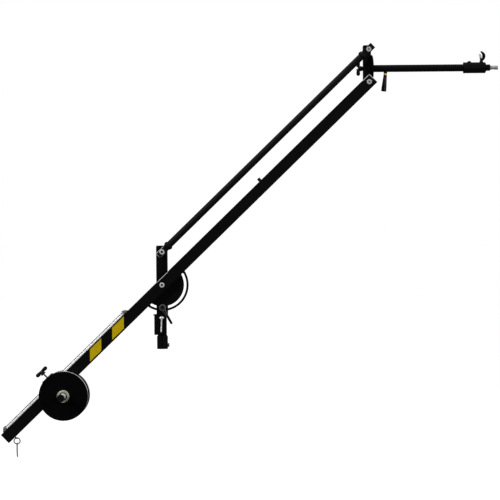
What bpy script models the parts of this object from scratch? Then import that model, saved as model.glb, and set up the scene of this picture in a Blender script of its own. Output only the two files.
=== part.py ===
"""Counterweighted boom arm for a lighting stand, modelled in metres, +Z up.

The origin is the centre of the stand socket's mouth. +X points along the arm, from the
counterweight to the load, and the boom passes in front of the post, on the -Y side.
A parallel link above the boom keeps the head post upright while the boom tilts.
"""

import math

import bmesh
import bpy

# Clearances
SEAT_GAP = 0.0003
BORE_GAP = 0.0003
SLIDE_GAP = 0.0008

# Boom geometry
BOOM_ANGLE = math.radians(43.95)
PIVOT_OFFSET = 0.003
REAR_REACH = 0.878
FRONT_REACH = 1.158
FRONT_OVERHANG = 0.0225
LINK_RISE = 0.132

# Beam, a rectangular tube
BEAM_DEPTH = 0.045
BEAM_WIDTH = 0.040
BEAM_WALL = 0.003
BEAM_EDGE = 0.0022
CROSS_TUBE_WALL = 0.004
END_CAP_THICKNESS = 0.003
END_CAP_PLUG = 0.015

# Stand socket and the swivel spindle that it carries
SOCKET_RADIUS = 0.0215
SOCKET_HEIGHT = 0.0515
SOCKET_BORE = 0.0143
SOCKET_DEPTH = 0.047
SOCKET_EDGE = 0.001
SOCKET_SCREW_HEIGHT = 0.0148
SOCKET_SCREW_RADIUS = 0.004
SOCKET_SCREW_HEAD = 0.007
SOCKET_SCREW_HEAD_LENGTH = 0.0055
SPINDLE_RADIUS = 0.014
SPINDLE_STUD = 0.006
SPINDLE_FLANGE = 0.0185
SPINDLE_FLANGE_THICKNESS = 0.005
SPINDLE_THREAD = 0.008
SPINDLE_NUT_RADIUS = 0.0139
SPINDLE_NUT_HEIGHT = 0.011

# Swivel housing and its clamp lever
HOUSING_LEFT = 0.0312
HOUSING_RIGHT = 0.0167
HOUSING_DEPTH = 0.044
HOUSING_HEIGHT = 0.0772
HOUSING_EDGE = 0.002
PAN_LEVER_OFFSET = 0.0010
PAN_LEVER_DROP = 0.0085
PAN_SCREW_RADIUS = 0.0045
PAN_HEAD_WIDTH = 0.020
PAN_HEAD_HEIGHT = 0.013
PAN_HEAD_DEPTH = 0.012
PAN_HEAD_STANDOFF = 0.0065
PAN_BAR_LENGTH = 0.058
PAN_BAR_RADIUS = 0.0035
PAN_BAR_LEAN = math.radians(2.7)

# Post on the swivel
POST_OFFSET = 0.0026
POST_WIDTH = 0.0444
POST_DEPTH = 0.040
POST_WALL = 0.003
POST_EDGE = 0.003
POST_CAP_THICKNESS = 0.0028
POST_CAP_PLUG = 0.012
POST_ABOVE_LINK = 0.0250
FOOT_THICKNESS = 0.004
FOOT_LEFT = 0.0381

# Pivot bolts
MAIN_BOLT_RADIUS = 0.008
LINK_BOLT_RADIUS = 0.006
BOLT_HEAD_RADIUS = 0.0104
BOLT_HEAD_HEIGHT = 0.007
BOLT_SOCKET_RADIUS = 0.0056
BOLT_SOCKET_DEPTH = 0.0035
NUT_MARGIN = 0.0062
NUT_HEIGHT = 0.010
BOLT_END = 0.003
WASHER_THICKNESS = 0.0025
WASHER_RADIUS = 0.022
HEAD_WASHER_RADIUS = 0.0135
SPACER_WALL = 0.004

# Quadrant plate and tilt brake
PLATE_THICKNESS = 0.004
PLATE_MARGIN = 0.0082
PLATE_TOP = 0.018
SLOT_RADIUS = 0.0912
SLOT_WIDTH = 0.0105
SLOT_HALF_ANGLE = math.radians(73)
BRAKE_ABOVE_SPINDLE = 0.0136
BRAKE_BOLT_RADIUS = 0.0045
BRAKE_HEAD_RADIUS = 0.010
BRAKE_HEAD_HEIGHT = 0.006
BRAKE_PAD_RADIUS = 0.0125
BRAKE_HUB_RADIUS = 0.0135
BRAKE_HUB_LENGTH = 0.018
BRAKE_LEVER_LENGTH = 0.076
BRAKE_LEVER_WIDTH = 0.0086
BRAKE_LEVER_THICKNESS = 0.006
BRAKE_LEVER_ANGLE = math.radians(-60.5)

# Guide rail, clips, buffer, lug, ring and pin on the beam
RAIL_TO_REAR_END = 0.030
RAIL_FRONT = 0.188
RAIL_WIDTH = 0.014
RAIL_HEIGHT = 0.0115
CLIP_OVERLAP = 0.004
CLIP_LENGTH = 0.021
CLIP_FLAT = 0.008
CLIP_ROOF = 0.003
CLIP_SIDE = 0.004
BUFFER_TO_HEAD = 0.586
BUFFER_RADIUS = 0.0063
BUFFER_HEIGHT = 0.0125
BUFFER_STEM = 0.003
LUG_TO_REAR_END = 0.0325
LUG_DROP = 0.0105
LUG_HALF_WIDTH = 0.006
LUG_WIRE = 0.0015
LUG_LEG_INSIDE = 0.002
RING_RADIUS = 0.0121
RING_WIRE = 0.0019
PIN_EYE_RADIUS = 0.0048
PIN_EYE_WIRE = 0.0015
PIN_RADIUS = 0.0023
PIN_LENGTH = 0.054
PIN_TIP_BEND = 0.0025

# Counterweight carriage
CARRIAGE_TO_REAR_END = 0.290
CARRIAGE_TOP_LENGTH = 0.050
CARRIAGE_SIDE_LENGTH = 0.034
CARRIAGE_PLATE = 0.004
CARRIAGE_HEADROOM = 0.031
GLIDE_LENGTH = 0.046
AXLE_DROP = 0.0415
AXLE_RADIUS = 0.0125
AXLE_HALF_LENGTH = 0.158
AXLE_BOSS_WALL = 0.005
AXLE_CAP_RADIUS = 0.016
AXLE_CAP_LENGTH = 0.014
AXLE_CAP_FLOOR = 0.004
DISC_RADIUS = 0.098
DISC_THICKNESS = 0.025
DISC_EDGE = 0.0025
HUB_COLLAR_RADIUS = 0.0245
HUB_COLLAR_RECESS = 0.0165
HUB_COLLAR_LENGTH = 0.014
HUB_COLLAR_RECESS_DEPTH = 0.009

# T-knobs, on the carriage and on the head
KNOB_BAR_LENGTH = 0.054
KNOB_BAR_WIDTH = 0.013
KNOB_BAR_HEIGHT = 0.012
KNOB_COLLAR_RADIUS = 0.0105
KNOB_COLLAR_HEIGHT = 0.007
KNOB_EDGE = 0.003
CARRIAGE_KNOB_HEIGHT = 0.0765
CARRIAGE_SCREW_RADIUS = 0.003
HEAD_KNOB_NECK = 0.006
HEAD_KNOB_NECK_RADIUS = 0.0084

# Parallel link
LINK_TUBE_RADIUS = 0.0132
LINK_TUBE_WALL = 0.002
BLADE_HEIGHT = 0.0256
BLADE_THICKNESS = 0.006
BLADE_OVERHANG = 0.0235
LINK_COLLAR_RADIUS = 0.0172
LINK_COLLAR_START = 0.030
LINK_COLLAR_LENGTH = 0.013
LINK_PLUG_LENGTH = 0.020

# Head post, its roll flange and the arm
HEAD_LEFT = 0.0205
HEAD_RIGHT = 0.0110
HEAD_DEPTH = 0.040
HEAD_WALL = 0.004
HEAD_EDGE = 0.003
HEAD_BELOW = 0.020
HEAD_ABOVE_LINK = 0.0195
ROLL_HEIGHT = 0.0592
FLANGE_RADIUS = 0.054
FLANGE_RIM = 0.004
FLANGE_CENTRE = 0.011
FLANGE_LAND = 0.016
ROLL_STUD_RADIUS = 0.006
ARM_RADIUS = 0.014
ARM_WALL = 0.002
ARM_LENGTH = 0.397
ARM_PLUG_LENGTH = 0.025
GRIP_PLACE = 0.0475
GRIP_LEAN = math.radians(6)
GRIP_BOSS_RADIUS = 0.007
GRIP_BOSS_HEIGHT = 0.006
GRIP_FERRULE_RADIUS = 0.006
GRIP_FERRULE_HEIGHT = 0.007
GRIP_TOP_RADIUS = 0.0068
GRIP_BOTTOM_RADIUS = 0.010
GRIP_LENGTH = 0.0645
GRIP_PIN_RADIUS = 0.0025

# End socket, spigot and their screws
END_SOCKET_RADIUS = 0.0215
END_SOCKET_LIP = 0.0223
END_SOCKET_LIP_LENGTH = 0.003
END_SOCKET_LENGTH = 0.0918
END_SOCKET_OVERLAP = 0.036
END_SOCKET_NOSE_LENGTH = 0.0048
END_SOCKET_NOSE_DEPTH = 0.0085
END_BOLT_PLACE = 0.0235
END_BOLT_RADIUS = 0.004
END_BOLT_HEAD_RADIUS = 0.008
END_BOLT_HEAD_HEIGHT = 0.005
WING_PLACE = 0.0722
WING_STEM_RADIUS = 0.0065
WING_STEM_HEIGHT = 0.0145
WING_SHANK_RADIUS = 0.004
WING_WIRE = 0.0036
SPIGOT_RADIUS = 0.008
SPIGOT_SHANK = 0.045
SPIGOT_COLLAR_RADIUS = 0.0125
SPIGOT_COLLAR_LENGTH = 0.0145
SPIGOT_STUD = 0.032
SPIGOT_GROOVE = 0.0012
SPIGOT_GROOVE_LENGTH = 0.006
SPIGOT_GROOVE_PLACE = 0.010

# Places that follow from the sizes above
HOUSING_BOTTOM = SOCKET_HEIGHT + SPINDLE_FLANGE_THICKNESS + 2 * SEAT_GAP
HOUSING_TOP = HOUSING_BOTTOM + HOUSING_HEIGHT
FOOT_BOTTOM = HOUSING_TOP + SEAT_GAP
FOOT_TOP = FOOT_BOTTOM + FOOT_THICKNESS
SPINDLE_TOP = FOOT_TOP + SEAT_GAP + SPINDLE_NUT_HEIGHT + BOLT_END
BRAKE_HEIGHT = SPINDLE_TOP + BRAKE_ABOVE_SPINDLE
PIVOT_HEIGHT = BRAKE_HEIGHT + SLOT_RADIUS
LINK_PIVOT_HEIGHT = PIVOT_HEIGHT + LINK_RISE
PLATE_RADIUS = SLOT_RADIUS + SLOT_WIDTH / 2 + PLATE_MARGIN
RAIL_REAR = REAR_REACH - RAIL_TO_REAR_END
LUG_PLACE = REAR_REACH - LUG_TO_REAR_END
CARRIAGE_PLACE = REAR_REACH - CARRIAGE_TO_REAR_END
BUFFER_PLACE = FRONT_REACH - BUFFER_TO_HEAD
POST_TOP = LINK_PIVOT_HEIGHT + POST_ABOVE_LINK - POST_CAP_THICKNESS - SEAT_GAP
POST_FRONT = -POST_DEPTH / 2
PLATE_REAR = POST_FRONT - WASHER_THICKNESS - 2 * SEAT_GAP
PLATE_FRONT = PLATE_REAR - PLATE_THICKNESS
BEAM_REAR = PLATE_FRONT - SEAT_GAP
BEAM_Y = BEAM_REAR - BEAM_WIDTH / 2
HEAD_FRONT = -HEAD_DEPTH / 2
MAIN_BORE = MAIN_BOLT_RADIUS + BORE_GAP
LINK_BORE = LINK_BOLT_RADIUS + BORE_GAP
AXLE_BORE = AXLE_RADIUS + BORE_GAP
CARRIAGE_INSIDE = BEAM_WIDTH / 2 + SLIDE_GAP
CARRIAGE_OUTSIDE = CARRIAGE_INSIDE + CARRIAGE_PLATE
CARRIAGE_ROOF = BEAM_DEPTH / 2 + CARRIAGE_HEADROOM
DISC_INSIDE = CARRIAGE_OUTSIDE + SEAT_GAP
DISC_OUTSIDE = DISC_INSIDE + DISC_THICKNESS
ARM_START = HEAD_RIGHT + SEAT_GAP + FLANGE_CENTRE + SEAT_GAP
ARM_END = ARM_START + ARM_LENGTH
END_SOCKET_START = ARM_END - END_SOCKET_OVERLAP
END_SOCKET_END = END_SOCKET_START + END_SOCKET_LENGTH

# Directions in which a turned piece's own Z axis can be laid
UPRIGHT = (0.0, 0.0, 0.0)
TOWARDS_FRONT = (math.pi / 2, 0.0, 0.0)
TOWARDS_REAR = (-math.pi / 2, 0.0, 0.0)
TOWARDS_RIGHT = (0.0, math.pi / 2, 0.0)
TOWARDS_LEFT = (0.0, -math.pi / 2, 0.0)

for leftover in list(bpy.data.objects):
    bpy.data.objects.remove(leftover, do_unlink=True)

PARTS = bpy.data.collections.new("boom_arm")
CUTTERS = bpy.data.collections.new("boom_arm_cutters")
bpy.context.scene.collection.children.link(PARTS)
bpy.context.scene.collection.children.link(CUTTERS)


def finish(name, colour, roughness, metallic):
    """A plain material with the piece's colour, roughness and metallic value."""
    made = bpy.data.materials.new(name)
    made.use_nodes = True
    shader = made.node_tree.nodes["Principled BSDF"]
    shader.inputs["Base Color"].default_value = (*colour, 1.0)
    shader.inputs["Roughness"].default_value = roughness
    shader.inputs["Metallic"].default_value = metallic
    return made


BLACK_PAINT = finish("black_paint", (0.012, 0.012, 0.013), 0.42, 0.0)
BLACK_IRON = finish("black_iron", (0.010, 0.010, 0.011), 0.5, 0.0)
BLACK_PLASTIC = finish("black_plastic", (0.011, 0.011, 0.012), 0.35, 0.0)
BLACK_RUBBER = finish("black_rubber", (0.015, 0.015, 0.015), 0.8, 0.0)
BRIGHT_STEEL = finish("bright_steel", (0.62, 0.63, 0.64), 0.28, 1.0)
DULL_STEEL = finish("dull_steel", (0.32, 0.32, 0.33), 0.42, 1.0)
ZINC = finish("zinc", (0.56, 0.54, 0.44), 0.4, 1.0)
ALUMINIUM = finish("aluminium", (0.72, 0.73, 0.74), 0.35, 1.0)
BRASS = finish("brass", (0.72, 0.48, 0.18), 0.3, 1.0)
NYLON = finish("nylon", (0.55, 0.55, 0.53), 0.6, 0.0)


def place(obj, parent, location, turn):
    """Files an object with the parts, or with the cutters when it has no material."""
    is_part = bool(obj.data.materials)
    (PARTS if is_part else CUTTERS).objects.link(obj)
    obj.parent = parent
    obj.location = location
    obj.rotation_euler = turn
    if not is_part:
        obj.hide_render = True
        obj.display_type = "WIRE"
    return obj


def frame(name, parent, location, turn=UPRIGHT):
    """An empty on a joint's axis, which carries the pieces that move with it."""
    empty = bpy.data.objects.new(name, None)
    PARTS.objects.link(empty)
    empty.parent = parent
    empty.location = location
    empty.rotation_euler = turn
    empty.empty_display_size = 0.03
    return empty


def shade(mesh):
    mesh.shade_smooth()
    mesh.set_sharp_from_angle(angle=math.radians(35))


def mesh_object(name, shape, material, parent, location, turn):
    """Turns a bmesh into a placed object."""
    mesh = bpy.data.meshes.new(name)
    shape.to_mesh(mesh)
    shape.free()
    if material:
        mesh.materials.append(material)
    shade(mesh)
    return place(bpy.data.objects.new(name, mesh), parent, location, turn)


def box(name, low, high, material, parent, edge=0.0, location=(0, 0, 0), turn=UPRIGHT):
    """A block from its low corner to its high corner, with rounded edges."""
    shape = bmesh.new()
    bmesh.ops.create_cube(shape, size=1.0)
    for vertex in shape.verts:
        vertex.co = [
            (a + b) / 2 + share * (b - a) for a, b, share in zip(low, high, vertex.co)
        ]
    made = mesh_object(name, shape, material, parent, location, turn)
    if edge:
        bevel = made.modifiers.new("edges", "BEVEL")
        bevel.width = edge
        bevel.segments = 2
        bevel.limit_method = "ANGLE"
    return made


def rod(name, radius, length, material, parent, location, turn, sides=24):
    """A round bar that starts at its location and runs along its own +Z."""
    shape = bmesh.new()
    bmesh.ops.create_cone(
        shape, cap_ends=True, segments=sides, radius1=radius, radius2=radius, depth=length
    )
    bmesh.ops.translate(shape, vec=(0, 0, length / 2), verts=shape.verts)
    return mesh_object(name, shape, material, parent, location, turn)


def turned(name, profile, material, parent, location=(0, 0, 0), turn=UPRIGHT, sides=24):
    """A lathe-turned piece. The profile's (radius, height) points run down the outside."""
    mesh = bpy.data.meshes.new(name)
    points = [(radius, 0.0, height) for radius, height in profile]
    edges = [(index, index + 1) for index in range(len(points) - 1)]
    if profile[0][0] > 0:
        edges.append((len(points) - 1, 0))
    mesh.from_pydata(points, edges, [])
    if material:
        mesh.materials.append(material)
    made = place(bpy.data.objects.new(name, mesh), parent, location, turn)
    screw = made.modifiers.new("turn", "SCREW")
    screw.axis = "Z"
    screw.angle = 2 * math.pi
    screw.steps = sides
    screw.render_steps = sides
    screw.use_merge_vertices = True
    screw.merge_threshold = 0.00001
    screw.use_smooth_shade = True
    return made


def curve_to_piece(name, curve, material, parent, location, turn):
    """Makes a curve a welded mesh, so that it can be cut and joined."""
    guide = bpy.data.objects.new(name + "_guide", curve)
    CUTTERS.objects.link(guide)
    bpy.context.view_layer.update()
    evaluated = guide.evaluated_get(bpy.context.evaluated_depsgraph_get())
    drawn = bpy.data.meshes.new_from_object(evaluated)
    shape = bmesh.new()
    shape.from_mesh(drawn)
    bmesh.ops.remove_doubles(shape, verts=shape.verts, dist=0.00001)
    bmesh.ops.recalc_face_normals(shape, faces=shape.faces)
    bpy.data.objects.remove(guide)
    return mesh_object(name, shape, material, parent, location, turn)


def plate(name, outlines, thickness, material, parent, location=(0, 0, 0), turn=TOWARDS_FRONT):
    """A flat plate, centred on its own thickness. Its outlines after the first are holes."""
    curve = bpy.data.curves.new(name, "CURVE")
    curve.dimensions = "2D"
    curve.fill_mode = "BOTH"
    curve.extrude = thickness / 2
    for outline in outlines:
        spline = curve.splines.new("POLY")
        spline.points.add(len(outline) - 1)
        for point, (x, y) in zip(spline.points, outline):
            point.co = (x, y, 0.0, 1.0)
        spline.use_cyclic_u = True
    return curve_to_piece(name, curve, material, parent, location, turn)


def wire(name, path, radius, material, parent, location=(0, 0, 0), turn=UPRIGHT, round_sides=2):
    """A bent round bar along a path of points, with closed ends."""
    curve = bpy.data.curves.new(name, "CURVE")
    curve.dimensions = "3D"
    curve.bevel_depth = radius
    curve.bevel_resolution = round_sides
    curve.use_fill_caps = True
    spline = curve.splines.new("POLY")
    spline.points.add(len(path) - 1)
    for point, (x, y, z) in zip(spline.points, path):
        point.co = (x, y, z, 1.0)
    return curve_to_piece(name, curve, material, parent, location, turn)


def arc(centre, radius, start, end, steps):
    """Points on a circular arc in a plate's own plane, from one angle to another."""
    return [
        (
            centre[0] + radius * math.cos(start + (end - start) * step / steps),
            centre[1] + radius * math.sin(start + (end - start) * step / steps),
        )
        for step in range(steps + 1)
    ]


def circle(centre, radius, steps=24):
    return arc(centre, radius, 0.0, 2 * math.pi * (steps - 1) / steps, steps - 1)


def carve(target, cutter):
    """Takes the cutter's shape out of the target."""
    cut = target.modifiers.new("cut_" + cutter.name, "BOOLEAN")
    cut.operation = "DIFFERENCE"
    cut.object = cutter


def weld(target, addition):
    """Makes a second shape part of the target."""
    joint = target.modifiers.new("weld_" + addition.name, "BOOLEAN")
    joint.operation = "UNION"
    joint.object = addition


def bore(target, radius, length, parent, location, turn, sides=20):
    """Drills a round hole that starts at its location and runs along its own +Z."""
    drill = rod(f"{target.name}_drill", radius, length, None, parent, location, turn, sides)
    carve(target, drill)


def bolt(name, shank_radius, length, parent, location):
    """A cap-head screw laid through the assembly, with its head to the front."""
    rim = BOLT_HEAD_RADIUS - BOLT_HEAD_HEIGHT / 7
    profile = [
        (0.0, BOLT_HEAD_HEIGHT),
        (rim, BOLT_HEAD_HEIGHT),
        (BOLT_HEAD_RADIUS, BOLT_HEAD_HEIGHT * 6 / 7),
        (BOLT_HEAD_RADIUS, 0.0),
        (shank_radius, 0.0),
        (shank_radius, -length),
        (0.0, -length),
    ]
    made = turned(name, profile, BRIGHT_STEEL, parent, location, TOWARDS_FRONT)
    socket_floor = BOLT_HEAD_HEIGHT - BOLT_SOCKET_DEPTH
    floor_place = (location[0], location[1] - socket_floor, location[2])
    bore(made, BOLT_SOCKET_RADIUS, BOLT_HEAD_HEIGHT, parent, floor_place, TOWARDS_FRONT, 6)
    return made


def nut(name, bolt_radius, material, parent, location, turn, radius=None, height=NUT_HEIGHT):
    """A hexagon nut that starts at its location."""
    across = radius or bolt_radius + NUT_MARGIN
    made = rod(name, across, height, material, parent, location, turn, 6)
    hole_start = (0, 0, -height)
    bore(made, bolt_radius + BORE_GAP, 3 * height, made, hole_start, UPRIGHT)
    return made


def t_knob(name, neck, neck_radius, screw_radius, parent, location, turn):
    """A plastic T-handle on a turned collar, over the end of its screw."""
    collar_top = neck + KNOB_COLLAR_HEIGHT
    bar_top = collar_top + KNOB_BAR_HEIGHT
    made = box(
        name,
        (-KNOB_BAR_LENGTH / 2, -KNOB_BAR_WIDTH / 2, collar_top),
        (KNOB_BAR_LENGTH / 2, KNOB_BAR_WIDTH / 2, bar_top),
        BLACK_PLASTIC,
        parent,
        KNOB_EDGE,
        location,
        turn,
    )
    collar_profile = [
        (0.0, collar_top + KNOB_BAR_HEIGHT / 2),
        (neck_radius, collar_top + KNOB_BAR_HEIGHT / 2),
        (KNOB_COLLAR_RADIUS, collar_top - KNOB_COLLAR_HEIGHT / 3),
        (KNOB_COLLAR_RADIUS, neck),
    ]
    if neck:
        collar_profile += [(neck_radius, neck), (neck_radius, 0.0)]
    collar_profile.append((0.0, 0.0))
    weld(made, turned(name + "_collar", collar_profile, None, parent, location, turn))
    bore_radius = screw_radius + BORE_GAP
    bore(made, bore_radius, collar_top + SEAT_GAP, made, (0, 0, -SEAT_GAP), UPRIGHT, 24)
    return made


def build_stand_group(root):
    """The fixed piece on the stand: socket, locking screw, spindle and its nut."""
    socket = turned(
        "stand_socket",
        [
            (SOCKET_RADIUS - SOCKET_EDGE, SOCKET_HEIGHT),
            (SOCKET_RADIUS, SOCKET_HEIGHT - SOCKET_EDGE),
            (SOCKET_RADIUS, SOCKET_EDGE),
            (SOCKET_RADIUS - SOCKET_EDGE, 0.0),
            (SOCKET_BORE + SOCKET_EDGE, 0.0),
            (SOCKET_BORE, SOCKET_EDGE),
            (SOCKET_BORE, SOCKET_DEPTH),
            (SPINDLE_STUD + BORE_GAP, SOCKET_DEPTH),
            (SPINDLE_STUD + BORE_GAP, SOCKET_HEIGHT),
        ],
        BLACK_PAINT,
        root,
        sides=40,
    )
    screw_place = (SOCKET_BORE, 0.0, SOCKET_SCREW_HEIGHT)
    drill_place = (SOCKET_BORE / 2, 0.0, SOCKET_SCREW_HEIGHT)
    bore(socket, SOCKET_SCREW_RADIUS + BORE_GAP, SOCKET_RADIUS, root, drill_place, TOWARDS_RIGHT)
    shank = SOCKET_RADIUS + SEAT_GAP - SOCKET_BORE
    turned(
        "socket_screw",
        [
            (0.0, shank + SOCKET_SCREW_HEAD_LENGTH),
            (SOCKET_SCREW_HEAD - SOCKET_EDGE, shank + SOCKET_SCREW_HEAD_LENGTH),
            (SOCKET_SCREW_HEAD, shank + SOCKET_SCREW_HEAD_LENGTH - SOCKET_EDGE),
            (SOCKET_SCREW_HEAD, shank),
            (SOCKET_SCREW_RADIUS, shank),
            (SOCKET_SCREW_RADIUS, 0.0),
            (0.0, 0.0),
        ],
        DULL_STEEL,
        root,
        screw_place,
        TOWARDS_RIGHT,
        24,
    )
    flange_bottom = SOCKET_HEIGHT + SEAT_GAP
    flange_top = flange_bottom + SPINDLE_FLANGE_THICKNESS
    nut_bottom = FOOT_TOP + SEAT_GAP
    turned(
        "swivel_spindle",
        [
            (0.0, SPINDLE_TOP),
            (SPINDLE_THREAD, SPINDLE_TOP),
            (SPINDLE_THREAD, HOUSING_TOP),
            (SPINDLE_RADIUS, HOUSING_TOP),
            (SPINDLE_RADIUS, flange_top),
            (SPINDLE_FLANGE, flange_top),
            (SPINDLE_FLANGE, flange_bottom),
            (SPINDLE_STUD, flange_bottom),
            (SPINDLE_STUD, SOCKET_DEPTH + SEAT_GAP),
            (0.0, SOCKET_DEPTH + SEAT_GAP),
        ],
        BRIGHT_STEEL,
        root,
    )
    nut(
        "spindle_nut",
        SPINDLE_THREAD,
        DULL_STEEL,
        root,
        (0, 0, nut_bottom),
        UPRIGHT,
        SPINDLE_NUT_RADIUS,
        SPINDLE_NUT_HEIGHT,
    )


def build_swivel_housing(swivel):
    """The block that turns on the spindle, bored for it and tapped for its clamp lever."""
    housing = box(
        "swivel_housing",
        (-HOUSING_LEFT, -HOUSING_DEPTH / 2, HOUSING_BOTTOM),
        (HOUSING_RIGHT, HOUSING_DEPTH / 2, HOUSING_TOP),
        BLACK_PAINT,
        swivel,
        HOUSING_EDGE,
    )
    bore(
        housing,
        SPINDLE_RADIUS + BORE_GAP,
        HOUSING_HEIGHT * 2,
        swivel,
        (0, 0, HOUSING_BOTTOM - HOUSING_HEIGHT / 2),
        UPRIGHT,
    )
    lever_height = HOUSING_TOP - PAN_LEVER_DROP
    bore(
        housing,
        PAN_SCREW_RADIUS + BORE_GAP,
        HOUSING_DEPTH / 2,
        swivel,
        (-PAN_LEVER_OFFSET, -SPINDLE_RADIUS / 2, lever_height),
        TOWARDS_FRONT,
    )
    return lever_height


def build_pan_lever(swivel, lever_height):
    """The bright lever whose screw presses on the spindle and locks the swivel."""
    face = HOUSING_DEPTH / 2 + SEAT_GAP
    pivot = frame("pan_lever_frame", swivel, (-PAN_LEVER_OFFSET, -face, lever_height))
    head_centre = (0, -PAN_HEAD_STANDOFF, 0)
    shape = bmesh.new()
    bmesh.ops.create_uvsphere(shape, u_segments=24, v_segments=12, radius=0.5)
    for vertex in shape.verts:
        vertex.co.x *= PAN_HEAD_WIDTH
        vertex.co.y *= PAN_HEAD_DEPTH
        vertex.co.z *= PAN_HEAD_HEIGHT
    lever = mesh_object("pan_lever", shape, BRIGHT_STEEL, pivot, head_centre, UPRIGHT)
    # The screw's flat end stops just clear of the nearest point of the round spindle.
    nearest = max(0.0, PAN_LEVER_OFFSET - PAN_SCREW_RADIUS)
    spindle_face = math.sqrt(SPINDLE_RADIUS**2 - nearest**2)
    tip = face - spindle_face - SEAT_GAP
    screw_length = tip + PAN_HEAD_STANDOFF
    weld(
        lever,
        rod("pan_screw", PAN_SCREW_RADIUS, screw_length, None, pivot, (0, tip, 0), TOWARDS_FRONT),
    )
    hub_length = PAN_HEAD_STANDOFF
    hub_radius = PAN_SCREW_RADIUS * 1.5
    weld(lever, rod("pan_hub", hub_radius, hub_length, None, pivot, (0, 0, 0), TOWARDS_FRONT))
    weld(
        lever,
        rod(
            "pan_bar",
            PAN_BAR_RADIUS,
            PAN_BAR_LENGTH,
            None,
            pivot,
            head_centre,
            (math.pi, PAN_BAR_LEAN, 0),
            24,
        ),
    )


def build_post(upper):
    """The post, a box tube welded to a foot plate, with its plastic cap."""
    left = -POST_OFFSET - POST_WIDTH / 2
    right = -POST_OFFSET + POST_WIDTH / 2
    post = box(
        "post",
        (left, -POST_DEPTH / 2, FOOT_BOTTOM + FOOT_THICKNESS / 2),
        (right, POST_DEPTH / 2, POST_TOP),
        BLACK_PAINT,
        upper,
        POST_EDGE,
    )
    foot = box(
        "post_foot",
        (-FOOT_LEFT, -HOUSING_DEPTH / 2, FOOT_BOTTOM),
        (right, HOUSING_DEPTH / 2, FOOT_TOP),
        None,
        upper,
    )
    weld(post, foot)
    inside = box(
        "post_inside",
        (left + POST_WALL, -POST_DEPTH / 2 + POST_WALL, FOOT_TOP),
        (right - POST_WALL, POST_DEPTH / 2 - POST_WALL, POST_TOP + POST_WALL),
        None,
        upper,
    )
    carve(post, inside)
    bore(
        post,
        SPINDLE_THREAD + BORE_GAP,
        FOOT_THICKNESS * 3,
        upper,
        (-PIVOT_OFFSET, 0, FOOT_BOTTOM - FOOT_THICKNESS),
        UPRIGHT,
    )
    for hole_radius, height in (
        (MAIN_BORE, PIVOT_HEIGHT),
        (LINK_BORE, LINK_PIVOT_HEIGHT),
        (BRAKE_BOLT_RADIUS + BORE_GAP, BRAKE_HEIGHT),
    ):
        bore(post, hole_radius, POST_DEPTH * 2, upper, (0, -POST_DEPTH, height), TOWARDS_REAR)
    cap_bottom = POST_TOP + SEAT_GAP
    cap = box(
        "post_cap",
        (left, -POST_DEPTH / 2, cap_bottom),
        (right, POST_DEPTH / 2, cap_bottom + POST_CAP_THICKNESS),
        BLACK_PLASTIC,
        upper,
        POST_CAP_THICKNESS / 3,
    )
    plug_inset = POST_WALL + SEAT_GAP
    plug = box(
        "post_cap_plug",
        (left + plug_inset, -POST_DEPTH / 2 + plug_inset, POST_TOP - POST_CAP_PLUG),
        (right - plug_inset, POST_DEPTH / 2 - plug_inset, cap_bottom + POST_CAP_THICKNESS / 2),
        None,
        upper,
    )
    weld(cap, plug)


def build_post_fasteners(upper):
    """The two pivot bolts, the thrust washer and the link's spacer on the post."""
    rear = POST_DEPTH / 2 + SEAT_GAP
    beam_front = BEAM_REAR - BEAM_WIDTH - SEAT_GAP
    main_length = rear + NUT_HEIGHT + BOLT_END - beam_front
    bolt("main_pivot_bolt", MAIN_BOLT_RADIUS, main_length, upper, (0, beam_front, PIVOT_HEIGHT))
    nut("main_pivot_nut", MAIN_BOLT_RADIUS, DULL_STEEL, upper, (0, rear, PIVOT_HEIGHT), TOWARDS_REAR)
    washer(
        "main_thrust_washer",
        MAIN_BORE,
        WASHER_RADIUS,
        WASHER_THICKNESS,
        upper,
        POST_FRONT,
        PIVOT_HEIGHT,
    )
    link_pivot(upper, "lower", POST_FRONT, POST_DEPTH / 2, LINK_PIVOT_HEIGHT)


def washer(name, inner, outer, thickness, parent, rear_y, height, material=DULL_STEEL):
    """A flat ring on a bolt, in front of the face at rear_y."""
    turned(
        name,
        [(outer, thickness), (outer, 0.0), (inner, 0.0), (inner, thickness)],
        material,
        parent,
        (0, rear_y - SEAT_GAP, height),
        TOWARDS_FRONT,
    )


def link_pivot(parent, which, front_face, rear_face, height):
    """The bolt, spacer tube and nut that hold one end of the link to its post."""
    blade_rear = BEAM_Y + BLADE_THICKNESS / 2
    blade_front = BEAM_Y - BLADE_THICKNESS / 2 - SEAT_GAP
    spacer_length = front_face - blade_rear - 2 * SEAT_GAP
    washer(
        f"link_spacer_{which}",
        LINK_BORE,
        LINK_BORE + SPACER_WALL,
        spacer_length,
        parent,
        front_face,
        height,
        BLACK_PAINT,
    )
    rear = rear_face + SEAT_GAP
    length = rear + NUT_HEIGHT + BOLT_END - blade_front
    bolt(f"link_bolt_{which}", LINK_BOLT_RADIUS, length, parent, (0, blade_front, height))
    nut(f"link_nut_{which}", LINK_BOLT_RADIUS, DULL_STEEL, parent, (0, rear, height), TOWARDS_REAR)


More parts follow.
